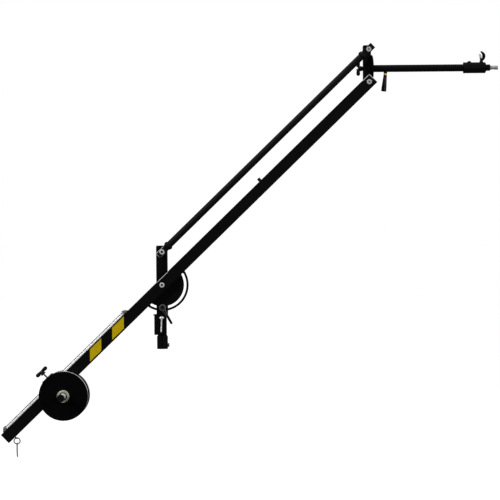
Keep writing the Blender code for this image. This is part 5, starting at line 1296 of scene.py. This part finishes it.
nylon = coated(
    "natural_nylon", (0.50, 0.50, 0.48), (0.58, 0.58, 0.56), 0.5, 0.5, grain=1200.0, relief=0.00003,
    wear=0.4, patches=60.0,
)
GLIDE_HALF_WIDTH = 0.0205
upper_glide = block((-0.023, -GLIDE_HALF_WIDTH, 0.0228), (0.023, GLIDE_HALF_WIDTH, 0.0532), 0.0008)
groove = block((-0.05, -0.0078, 0.0), (0.05, 0.0078, 0.0348), 0.0005, 2)
upper_glide = boolean(upper_glide, groove, "DIFFERENCE")
upper_glide = drilled(upper_glide, CLAMP_BORE, (0, 0, 0.02), 0.05, (0, 0, 0))
piece("upper_nylon_glide", upper_glide, nylon, "carriage", ["glide_top"], CARRIAGE)
lower_glide = block(
    (-0.0125, -GLIDE_HALF_WIDTH, -0.0287), (0.0125, GLIDE_HALF_WIDTH, -0.0228), 0.0008
)
piece("lower_nylon_glide", lower_glide, nylon, "carriage", ["glide_bottom"], CARRIAGE)


# Counterweights on their axle
# Two cast iron discs, faced on a lathe and enamelled black, on a bright steel axle. Zinc plated
# hub collars with grub screws hold them, and moulded caps close the axle's ends.
AXLE_PLACE = (-0.391526, BEAM_Y, -0.180268)
DISC_START = 0.0251
DISC_END = 0.0501
DISC_THICKNESS = DISC_END - DISC_START
cast_iron = coated(
    "enamelled_cast_iron", (0.0024, 0.0024, 0.0028), (0.018, 0.018, 0.019), 0.46, 0.035,
    spread=0.07, grain=420.0, relief=0.00012, wear=0.4, patches=24.0,
)
axle_steel = machined(
    "axle_bright_steel", (0.86, 0.89, 0.97), 0.28, AXLE_PLACE, ALONG_Y, metallic=0.45
)
AXLE_RADIUS = 0.0125
AXLE_HALF = 0.158
axle_profile = [
    (0.0, AXLE_HALF), (AXLE_RADIUS, AXLE_HALF), (AXLE_RADIUS, -AXLE_HALF), (0.0, -AXLE_HALF)
]
axle = turned(axle_profile, 0.001, place=(0, 0, AXLE_HEIGHT), turn=TOWARDS_FRONT)
piece("weight_axle_bar", axle, axle_steel, "carriage", ["weight_axle"], CARRIAGE)
zinc = machined("zinc_plate", (0.50, 0.49, 0.38), 0.46, AXLE_PLACE, ALONG_Y, 1500.0, 0.00003, 0.4)
DISC_RADIUS = 0.098
DISC_HOLLOW = DISC_THICKNESS - 0.0008
disc_section = [
    (DISC_RADIUS, DISC_THICKNESS), (DISC_RADIUS, 0.0), (AXLE_BORE, 0.0),
    (AXLE_BORE, DISC_THICKNESS), (0.030, DISC_THICKNESS), (0.0312, DISC_HOLLOW),
    (0.0885, DISC_HOLLOW), (0.0897, DISC_THICKNESS),
]
COLLAR_RADIUS = 0.0245
COLLAR_HEIGHT = 0.014
GROOVE_DEPTH = 0.0008
RECESS_RADIUS = 0.0165
RECESS_FLOOR = 0.005
groove_floor = COLLAR_HEIGHT - GROOVE_DEPTH
collar_section = [
    (0.0205, COLLAR_HEIGHT), (0.0209, groove_floor), (0.0217, groove_floor),
    (0.0221, COLLAR_HEIGHT), (COLLAR_RADIUS, COLLAR_HEIGHT), (COLLAR_RADIUS, 0.0), (AXLE_BORE, 0.0),
    (AXLE_BORE, RECESS_FLOOR), (RECESS_RADIUS, RECESS_FLOOR), (RECESS_RADIUS, COLLAR_HEIGHT),
]
END_CAP_RADIUS = 0.0148
END_CAP_SKIRT = -0.0098
end_cap_profile = [
    (0.0, 0.004), (0.0126, 0.004), (END_CAP_RADIUS, 0.0022), (END_CAP_RADIUS, END_CAP_SKIRT),
    (AXLE_BORE, END_CAP_SKIRT), (AXLE_BORE, 0.0), (0.0, 0.0),
]
turned_rim = machined(
    "turned_iron_rim", (0.74, 0.74, 0.73), 0.34, AXLE_PLACE, ALONG_Y, 1800.0, metallic=0.35
)


def on_disc_rim(middle, normal):
    return middle.xy.length > DISC_RADIUS - 0.0016 and abs(normal.z) < 0.45


# The collar's counterbore and the groove ring on its face take painted shade.
def in_collar_recess(middle, normal):
    reach = middle.xy.length
    counterbored = middle.z > RECESS_FLOOR - 0.0002 and reach < RECESS_RADIUS + 0.0001
    return counterbored or 0.0206 < reach < 0.0220 and middle.z < 0.0138 and normal.z > 0.5


for label, side, turn in (("front", -1, TOWARDS_FRONT), ("rear", 1, TOWARDS_REAR)):
    disc = mark(turned(disc_section, 0.002, 192, 4), on_disc_rim)
    disc = placed(disc, (0, side * DISC_START, AXLE_HEIGHT), turn)
    piece(
        f"{label}_counterweight", disc, cast_iron, "carriage",
        [f"weight_disc_{label}"], CARRIAGE, turned_rim,
    )
    collar = turned(collar_section, 0.0009)
    collar = drilled(collar, 0.0020, (0, 0, 0.0026), 0.03, TOWARDS_LEFT, 24)
    collar = mark(collar, in_collar_recess)
    collar = placed(collar, (0, side * (DISC_END + 0.0003), AXLE_HEIGHT), turn)
    piece(
        f"{label}_hub_collar", collar, zinc, f"hub_collar_{label}", [f"hub_collar_{label}"],
        CARRIAGE, recess_painted_shade,
    )
    cap_place = (0, side * (AXLE_HALF + 0.0003), AXLE_HEIGHT)
    end_cap = turned(end_cap_profile, 0.0009, place=cap_place, turn=turn)
    piece(
        f"{label}_axle_end_cap", end_cap, moulded, "carriage",
        [f"axle_cap_{label}"], CARRIAGE,
    )


# T-knobs of the carriage and of the head
# Moulded T-handles over a threaded steel screw: a rounded bar that swells at its ends on a turned
# neck, with the moulding's parting line round the bar.
KNOB_LENGTH = 0.054


def t_knob(neck, neck_radius, bore, insert_profile, insert_turn):
    """A T-handle that stands on its origin, with its bar along X and a steel insert in it."""
    collar_top = neck + 0.007
    bar_middle = collar_top + 0.006
    steps = 24
    path = []
    widths = []
    heights = []
    for step in range(steps + 1):
        share = 2 * step / steps - 1
        path.append((share * (KNOB_LENGTH / 2 - 0.0055), 0, bar_middle))
        swell = 0.5 - 0.5 * math.cos(math.pi * min(1.0, abs(share) * 1.15))
        widths.append(0.0106 + 0.0036 * swell)
        heights.append(0.0112 + 0.0034 * swell)
    bar = swept(path, widths, heights, ALONG_Y, 36, square=2.6)
    seam_widths = [width + 0.0003 for width in widths]
    seam = swept(path, seam_widths, 0.0006, ALONG_Y, 36, square=2.6)
    collar_profile = [
        (0.0, bar_middle), (neck_radius, bar_middle), (neck_radius * 1.02, collar_top - 0.0005),
        (0.0105, collar_top - 0.0025), (0.0105, neck),
    ]
    if neck:
        collar_profile += [(neck_radius, neck), (neck_radius, 0.0)]
    collar_profile.append((0.0, 0.0))
    collar = turned(collar_profile, 0.0009, 72)
    knob = boolean(boolean(bar, collar, "UNION"), seam, "UNION")
    insert = turned(insert_profile, 0.0004, 40, 3, (0, 0, bar_middle), insert_turn)
    for face in insert.faces:
        face.material_index = 1
    return combine(drilled(knob, bore, (0, 0, -0.001), collar_top + 0.001, (0, 0, 0)), insert)


CARRIAGE_KNOB_HEIGHT = 0.0765
cross_pin = [(0.0, 0.0062), (0.0020, 0.0062), (0.0020, -0.0062), (0.0, -0.0062)]
carriage_knob = t_knob(0.0, 0.006, CLAMP_BORE, cross_pin, TOWARDS_FRONT)
piece(
    "carriage_t_knob", placed(carriage_knob, (0, 0, CARRIAGE_KNOB_HEIGHT)), moulded,
    "carriage_knob", ["carriage_knob"], CARRIAGE, plated,
)
SCREW_BOTTOM = 0.0346
SCREW_TOP = 0.0832
SCREW_RADIUS = 0.003
screw_profile = [
    (0.0, SCREW_BOTTOM), (SCREW_RADIUS, SCREW_BOTTOM), (SCREW_RADIUS, SCREW_TOP), (0.0, SCREW_TOP)
]
screw_thread_used = thread(SCREW_RADIUS - 0.0001, SCREW_BOTTOM + 0.018, 0.022, 0.0010, plated)
clamp_screw = combine(turned(screw_profile, 0.0005, 48), screw_thread_used)
piece(
    "carriage_clamp_screw", clamp_screw, plated, "carriage_knob", ["carriage_screw"],
    CARRIAGE,
)
ARM_PLACE = (0.836697, 0.0, 1.120587)
KNOB_FACE = -0.0208
domed_end = [
    (0.0, 0.0092), (0.0034, 0.0088), (0.0056, 0.0074), (0.0066, 0.0052), (0.0066, -0.0030),
    (0.0, -0.0030),
]
head_knob = placed(
    t_knob(0.006, 0.0084, STUD_HOLE, domed_end, (0, 0, 0)),
    (ARM_PLACE[0] + KNOB_FACE, 0, ARM_PLACE[2]), TOWARDS_LEFT,
)
domed_steel = machined(
    "domed_stud_steel", (0.80, 0.80, 0.80), 0.4, ARM_PLACE, ALONG_X, metallic=0.4
)
piece(
    "head_t_knob", head_knob, moulded, "head_knob", ["head_knob"],
    second=domed_steel,
)


# Parallel link
# A round steel tube with a forged end plugged into each end. Each forging has a round collar and a
# flat blade for its bolt, and everything is powder coated together.
LINK = Matrix.Translation((POST_X, BEAM_Y, LINK_HEIGHT)) @ Matrix.Rotation(-BOOM_ANGLE, 4, "Y")
LINK_LENGTH = 1.158
TUBE_START = 0.0433
TUBE_RADIUS = 0.0132
tube_section = [
    (TUBE_RADIUS, LINK_LENGTH - TUBE_START), (TUBE_RADIUS, TUBE_START), (0.0112, TUBE_START),
    (0.0112, LINK_LENGTH - TUBE_START),
]
link_tube = turned(tube_section, 0.0003, 96, 2, turn=TOWARDS_RIGHT)
dull_coat = coated("dull_powder_coat", (0.0058, 0.0055, 0.0062), WORN_BLACK, 0.55, 0.1)
piece("link_round_tube", link_tube, dull_coat, "link", ["link_tube"], LINK)
BLADE_HALF_HEIGHT = 0.0128
BLADE_HALF_THICKNESS = 0.003
fitting_profile = [
    (0.0, 0.063), (0.0109, 0.063), (0.0109, 0.043), (TUBE_RADIUS, 0.043), (0.0162, 0.0420),
    (0.0176, 0.0385), (0.0176, 0.0345), (0.0162, 0.0300), (0.0140, 0.0268), (0.0128, 0.0255),
    (0.0, 0.0255),
]
BLADE_OVERHANG = 0.0235
# The lower blade's border near its bolt is lightened: rubbed paint and a painted highlight.
BLADE_RUB_AND_HIGHLIGHT_HALF = 0.05
blade_middle = tuple(LINK @ Vector((BLADE_RUB_AND_HIGHLIGHT_HALF - BLADE_OVERHANG, 0, 0)))
blade_joint = tuple(LINK @ Vector((-0.003, 0, BLADE_HALF_HEIGHT)))
blade_coat = rubbed_and_highlit(
    dull_coat, "link_end_powder_coat", blade_middle, BLADE_RUB_AND_HIGHLIGHT_HALF, BLADE_HALF_HEIGHT, 0.029,
    [blade_joint],
)
fittings = (("lower", 0.0, 0.0, blade_coat), ("upper", LINK_LENGTH, math.pi, dull_coat))
for label, place, turn, coat in fittings:
    fitting = turned(fitting_profile, 0.0034, 96, 5, turn=TOWARDS_RIGHT)
    blade = block(
        (-BLADE_OVERHANG, -BLADE_HALF_THICKNESS, -BLADE_HALF_HEIGHT),
        (0.0404, BLADE_HALF_THICKNESS, BLADE_HALF_HEIGHT), 0.0007, 3,
    )
    fitting = boolean(fitting, blade, "UNION")
    fitting = drilled(fitting, LINK_BORE, (0, 0.01, 0), 0.02, TOWARDS_FRONT)
    fitting = placed(fitting, (place, 0, 0), (0, turn, 0))
    piece(
        f"link_{label}_forging", fitting, coat, "link", [f"link_end_{label}"], LINK
    )


# Head post and roll flange
# A short box tube, open below, that the link keeps upright. The round flange on its right side is
# a dished iron casting, enamelled black, with a corner milled away where the beam's end swings.
HEAD = Matrix.Translation(HEAD_PLACE)
HEAD_LEFT = -0.0205
HEAD_RIGHT = 0.0110
HEAD_TOP = 0.1515
HEAD_BOTTOM = -0.020
HEAD_HALF_DEPTH = 0.020
HEAD_WALL = 0.004
head_post = block(
    (HEAD_LEFT, -HEAD_HALF_DEPTH, HEAD_BOTTOM), (HEAD_RIGHT, HEAD_HALF_DEPTH, HEAD_TOP), 0.003, 5
)
hollow_half = HEAD_HALF_DEPTH - HEAD_WALL
hollow = block(
    (HEAD_LEFT + HEAD_WALL, -hollow_half, HEAD_BOTTOM - 0.01),
    (HEAD_RIGHT - HEAD_WALL, hollow_half, HEAD_TOP - HEAD_WALL), 0.001, 2,
)
head_post = boolean(head_post, hollow, "DIFFERENCE")
piece("head_post_tube", head_post, powder_coat, "head", ["head_post"], HEAD)
ROLL_HEIGHT = 0.0592
DISH_RADIUS = 0.054
DISH_RIM = 0.004
DISH_RISE = 0.007
MILLED_RADIUS = 0.0334
dish_profile = [(STUD_HOLE, 0.011), (0.016, 0.011)]
for step in range(7, 24):
    share = step / 24
    level = DISH_RIM + DISH_RISE * math.cos(math.pi / 2 * share)
    dish_profile.append((DISH_RADIUS * math.sin(math.pi / 2 * share), level))
dish_profile += [(DISH_RADIUS, DISH_RIM), (DISH_RADIUS, 0.0), (STUD_HOLE, 0.0)]
dish_place = (HEAD_RIGHT + 0.0003, 0, ROLL_HEIGHT)
dish = turned(dish_profile, 0.0009, 160, place=dish_place, turn=TOWARDS_RIGHT)
dish = drilled(dish, MILLED_RADIUS, (0, -0.0258, 0), 0.06, TOWARDS_FRONT, 96)
piece("roll_flange_casting", dish, cast_iron, "head", ["roll_flange"], HEAD)


# Arm and its stud
# A round steel tube that rolls in the head, plugged by a bright stud that runs back through the
# head post to the T-knob. A short boss under it takes the hand grip.
ARM = Matrix.Translation(ARM_PLACE)
ARM_START = 0.0226
ARM_END = 0.4196
ARM_RADIUS = 0.014
GRIP_LEAN = math.radians(6)
GRIP_PLACE = (ARM_START + 0.0475, 0, -ARM_RADIUS)
arm_section = [(ARM_RADIUS, ARM_END), (ARM_RADIUS, ARM_START), (0.012, ARM_START), (0.012, ARM_END)]
arm = turned(arm_section, 0.0004, 128, 2, turn=TOWARDS_RIGHT)
boss_profile = [(0.0, 0.002), (0.007, 0.002), (0.007, -0.006), (0.0, -0.006)]
boss = turned(boss_profile, 0.0006, 64, 3, GRIP_PLACE, (0, GRIP_LEAN, 0))
arm = boolean(arm, boss, "UNION")
piece("arm_round_tube", arm, powder_coat, "arm", ["arm_tube"], ARM)
PLUG_END = ARM_START + 0.025
PLUG_RADIUS = 0.0117
STUD_RADIUS = 0.006
STUD_END = -0.0335
stud_profile = [
    (0.0, PLUG_END), (PLUG_RADIUS, PLUG_END), (PLUG_RADIUS, ARM_START), (STUD_RADIUS, ARM_START),
    (STUD_RADIUS, STUD_END), (0.0, STUD_END),
]
stud_steel = machined("stud_bright_steel", (0.62, 0.63, 0.64), 0.28, ARM_PLACE, ALONG_X)
stud = turned(stud_profile, 0.0005, 64, turn=TOWARDS_RIGHT)
piece("roll_stud_bar", stud, stud_steel, "arm", ["roll_stud"], ARM)


# Hand grip
# A tapered moulded handle under the arm that turns freely on its pin, below a turned brass
# ferrule with a knurled band.
GRIP = ARM @ Matrix.Translation(GRIP_PLACE) @ Matrix.Rotation(GRIP_LEAN, 4, "Y")
grip_world = tuple(GRIP.translation)
grip_axis = tuple(GRIP.to_3x3() @ Vector((0, 0, 1)))
brass = machined(
    "turned_brass", (0.56, 0.35, 0.11), 0.3, grip_world, grip_axis, 2200.0, metallic=0.7
)
ferrule_profile = [
    (0.0, -0.0063), (0.006, -0.0063), (0.006, -0.0133), (0.0025, -0.0133), (0.0025, -0.0348),
    (0.0, -0.0348),
]
band_values = {"Count": 36, "Radius": 0.0059, "Rib": 0.00035, "Length": 0.0034}
band_values["Finish"] = brass
ferrule_band = placed(grown(knurling, band_values), (0, 0, -0.0098))
ferrule = combine(turned(ferrule_profile, 0.0006, 64), ferrule_band)
piece("brass_ferrule", ferrule, brass, "arm", ["grip_ferrule"], GRIP)
HANDLE_TOP = -0.0136
HANDLE_LENGTH = 0.0645
handle_profile = [(0.0, HANDLE_TOP), (0.0060, HANDLE_TOP), (0.0068, HANDLE_TOP - 0.0012)]
TAPER = ((0.10, 0.0069), (0.25, 0.0074), (0.45, 0.0084), (0.65, 0.0093), (0.85, 0.0099))
for share, radius in TAPER:
    handle_profile.append((radius, HANDLE_TOP - share * HANDLE_LENGTH))
handle_bottom = HANDLE_TOP - HANDLE_LENGTH
handle_profile += [(0.0100, handle_bottom + 0.0036), (0.0100, handle_bottom), (0.0, handle_bottom)]
handle = turned(handle_profile, 0.0034, 96, 6)
handle = drilled(handle, 0.0028, (0, 0, HANDLE_TOP - 0.0221), 0.03, (0, 0, 0))
piece("grip_moulded_handle", handle, moulded, "grip", ["grip_handle"], GRIP)


# End socket, clamping bolt and wing screw
# The socket is turned from solid, black finished, and slid over the arm's end. A domed bolt holds
# it there, and a cast wing screw on top holds the spigot.
SOCKET = ARM @ Matrix.Translation((0.3836, 0, 0))
SOCKET_LENGTH = 0.0918
SOCKET_RADIUS = 0.0215
LIP_RADIUS = 0.0223
ARM_BORE = ARM_RADIUS + 0.0003
ARM_BORE_DEPTH = 0.0363
SPIGOT_BORE = 0.0083
socket_section = [
    (0.0130, SOCKET_LENGTH), (SOCKET_RADIUS, SOCKET_LENGTH - 0.0048), (SOCKET_RADIUS, 0.0035),
    (LIP_RADIUS, 0.0022), (LIP_RADIUS, 0.0), (ARM_BORE, 0.0), (ARM_BORE, ARM_BORE_DEPTH),
    (SPIGOT_BORE, ARM_BORE_DEPTH), (SPIGOT_BORE, SOCKET_LENGTH),
]
end_socket = turned(socket_section, 0.0005, 128, turn=TOWARDS_RIGHT)
piece("spigot_end_socket", end_socket, powder_coat, "arm", ["end_socket"], SOCKET)
CLAMP_BOLT_PLACE = 0.0235
WING_PLACE = 0.0722
SEAT = SOCKET_RADIUS + 0.0003
clamp_bolt_profile = [
    (0.0, SEAT + 0.005), (0.0030, SEAT + 0.0048), (0.0062, SEAT + 0.0032), (0.0080, SEAT + 0.0010),
    (0.0080, SEAT), (0.004, SEAT), (0.004, ARM_BORE), (0.0, ARM_BORE),
]
clamp_bolt = placed(lathe(clamp_bolt_profile, 64), (CLAMP_BOLT_PLACE, 0, 0))
piece("socket_domed_bolt", clamp_bolt, powder_coat, "arm", ["end_bolt"], SOCKET)


def curved(points, steps=6):
    """A smooth path through the points."""
    ends = [points[0], *points, points[-1]]
    path = []
    for index in range(1, len(ends) - 2):
        a, b, c, d = (Vector(point) for point in ends[index - 1 : index + 3])
        bend = 2 * a - 5 * b + 4 * c - d
        twist = 3 * b - a - 3 * c + d
        for step in range(steps):
            t = step / steps
            path.append(0.5 * (2 * b + (c - a) * t + bend * t**2 + twist * t**3))
    path.append(Vector(points[-1]))
    return path


STEM_TOP = SEAT + 0.0145
WING_ROOT = STEM_TOP - 0.0051
stem_profile = [
    (0.0, STEM_TOP), (0.0033, STEM_TOP - 0.0009), (0.0050, STEM_TOP - 0.0044),
    (0.0062, SEAT + 0.0040), (0.0074, SEAT + 0.0014), (0.0074, SEAT), (0.004, SEAT),
    (0.004, SPIGOT_BORE), (0.0, SPIGOT_BORE),
]
wing_screw = turned(stem_profile, 0.0006, 64)
front_wing = curved(
    [
        (0.0030, 0.0, WING_ROOT - 0.0010), (0.0072, -0.002, WING_ROOT + 0.0040),
        (0.0096, -0.005, WING_ROOT + 0.0110), (0.0094, -0.008, WING_ROOT + 0.0180),
        (0.0062, -0.011, WING_ROOT + 0.0245), (0.0015, -0.013, WING_ROOT + 0.0290),
        (-0.0022, -0.014, WING_ROOT + 0.0312),
    ]
)
rear_wing = curved(
    [
        (-0.0008, 0.0, WING_ROOT - 0.002), (-0.0010, 0.006, WING_ROOT + 0.005),
        (-0.0016, 0.011, WING_ROOT + 0.012), (-0.0030, 0.014, WING_ROOT + 0.019),
        (-0.0046, 0.0148, WING_ROOT + 0.024),
    ]
)
FRONT_WING_WIDTHS = (0.0080, 0.0104, 0.0122, 0.0124, 0.0100, 0.0072, 0.0050)
REAR_WING_WIDTHS = (0.0070, 0.0078, 0.0094, 0.0096, 0.0076)
WING_THICKNESS = 0.0052
for path, sizes in ((front_wing, FRONT_WING_WIDTHS), (rear_wing, REAR_WING_WIDTHS)):
    broad = [size.x for size in curved([(size, 0, 0) for size in sizes])]
    wing = swept(path, broad, WING_THICKNESS, ALONG_X, square=2.4)
    wing_screw = boolean(wing_screw, wing, "UNION")


# The rear wing's faces towards the front and sides are lighter grey: a painted highlight.
def on_rear_wing(middle, normal):
    return middle.y > 0.0065 and normal.y < 0.2 and middle.z > WING_ROOT + 0.006


wing_painted_highlight = machined(
    "wing_face_painted_highlight", (0.40, 0.40, 0.40), 0.5, ARM_PLACE, ALONG_X, 900.0, metallic=0.3
)
wing_screw = mark(wing_screw, on_rear_wing)
wing_screw = placed(wing_screw, (WING_PLACE, 0, 0))
piece(
    "cast_wing_screw", wing_screw, powder_coat, "wing_screw", ["wing_screw"], SOCKET,
    wing_painted_highlight,
)


# Spigot and its collar
# The load spigot is a 16 mm bright steel pin with a locking groove and a chamfered end, and it
# passes a black collar that covers the mouth of the socket.
SPIGOT = ARM @ Matrix.Translation((0.4757, 0, 0))
spigot_steel = machined(
    "spigot_bright_steel", (0.40, 0.42, 0.41), 0.34, ARM_PLACE, ALONG_X, metallic=0.6
)
SPIGOT_RADIUS = 0.0080
SPIGOT_START = -0.045
SPIGOT_END = 0.0465
spigot_profile = [
    (0.0, SPIGOT_END), (0.0030, SPIGOT_END), (SPIGOT_RADIUS, SPIGOT_END), (SPIGOT_RADIUS, 0.0305),
    (0.0068, 0.0300), (0.0068, 0.0250), (SPIGOT_RADIUS, 0.0245), (SPIGOT_RADIUS, SPIGOT_START),
    (0.0, SPIGOT_START),
]
spigot = turned(spigot_profile, 0.0009, turn=TOWARDS_RIGHT)
piece("load_spigot_pin", spigot, spigot_steel, "spigot", ["spigot"], SPIGOT)
COLLAR_OUTSIDE = 0.0125
COLLAR_LENGTH = 0.0145
collar_section = [
    (COLLAR_OUTSIDE, COLLAR_LENGTH), (COLLAR_OUTSIDE, 0.0), (SPIGOT_BORE, 0.0),
    (SPIGOT_BORE, COLLAR_LENGTH),
]
collar = turned(collar_section, 0.001, turn=TOWARDS_RIGHT)
piece(
    "spigot_black_collar", collar, powder_coat, "spigot", ["spigot_collar"], SPIGOT
)


# Parts that keep their CAD shape
# The nut on the spindle sits inside the post, out of sight, and only takes its plated finish.
for material_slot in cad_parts["spindle_nut"].material_slots:
    material_slot.material = plated
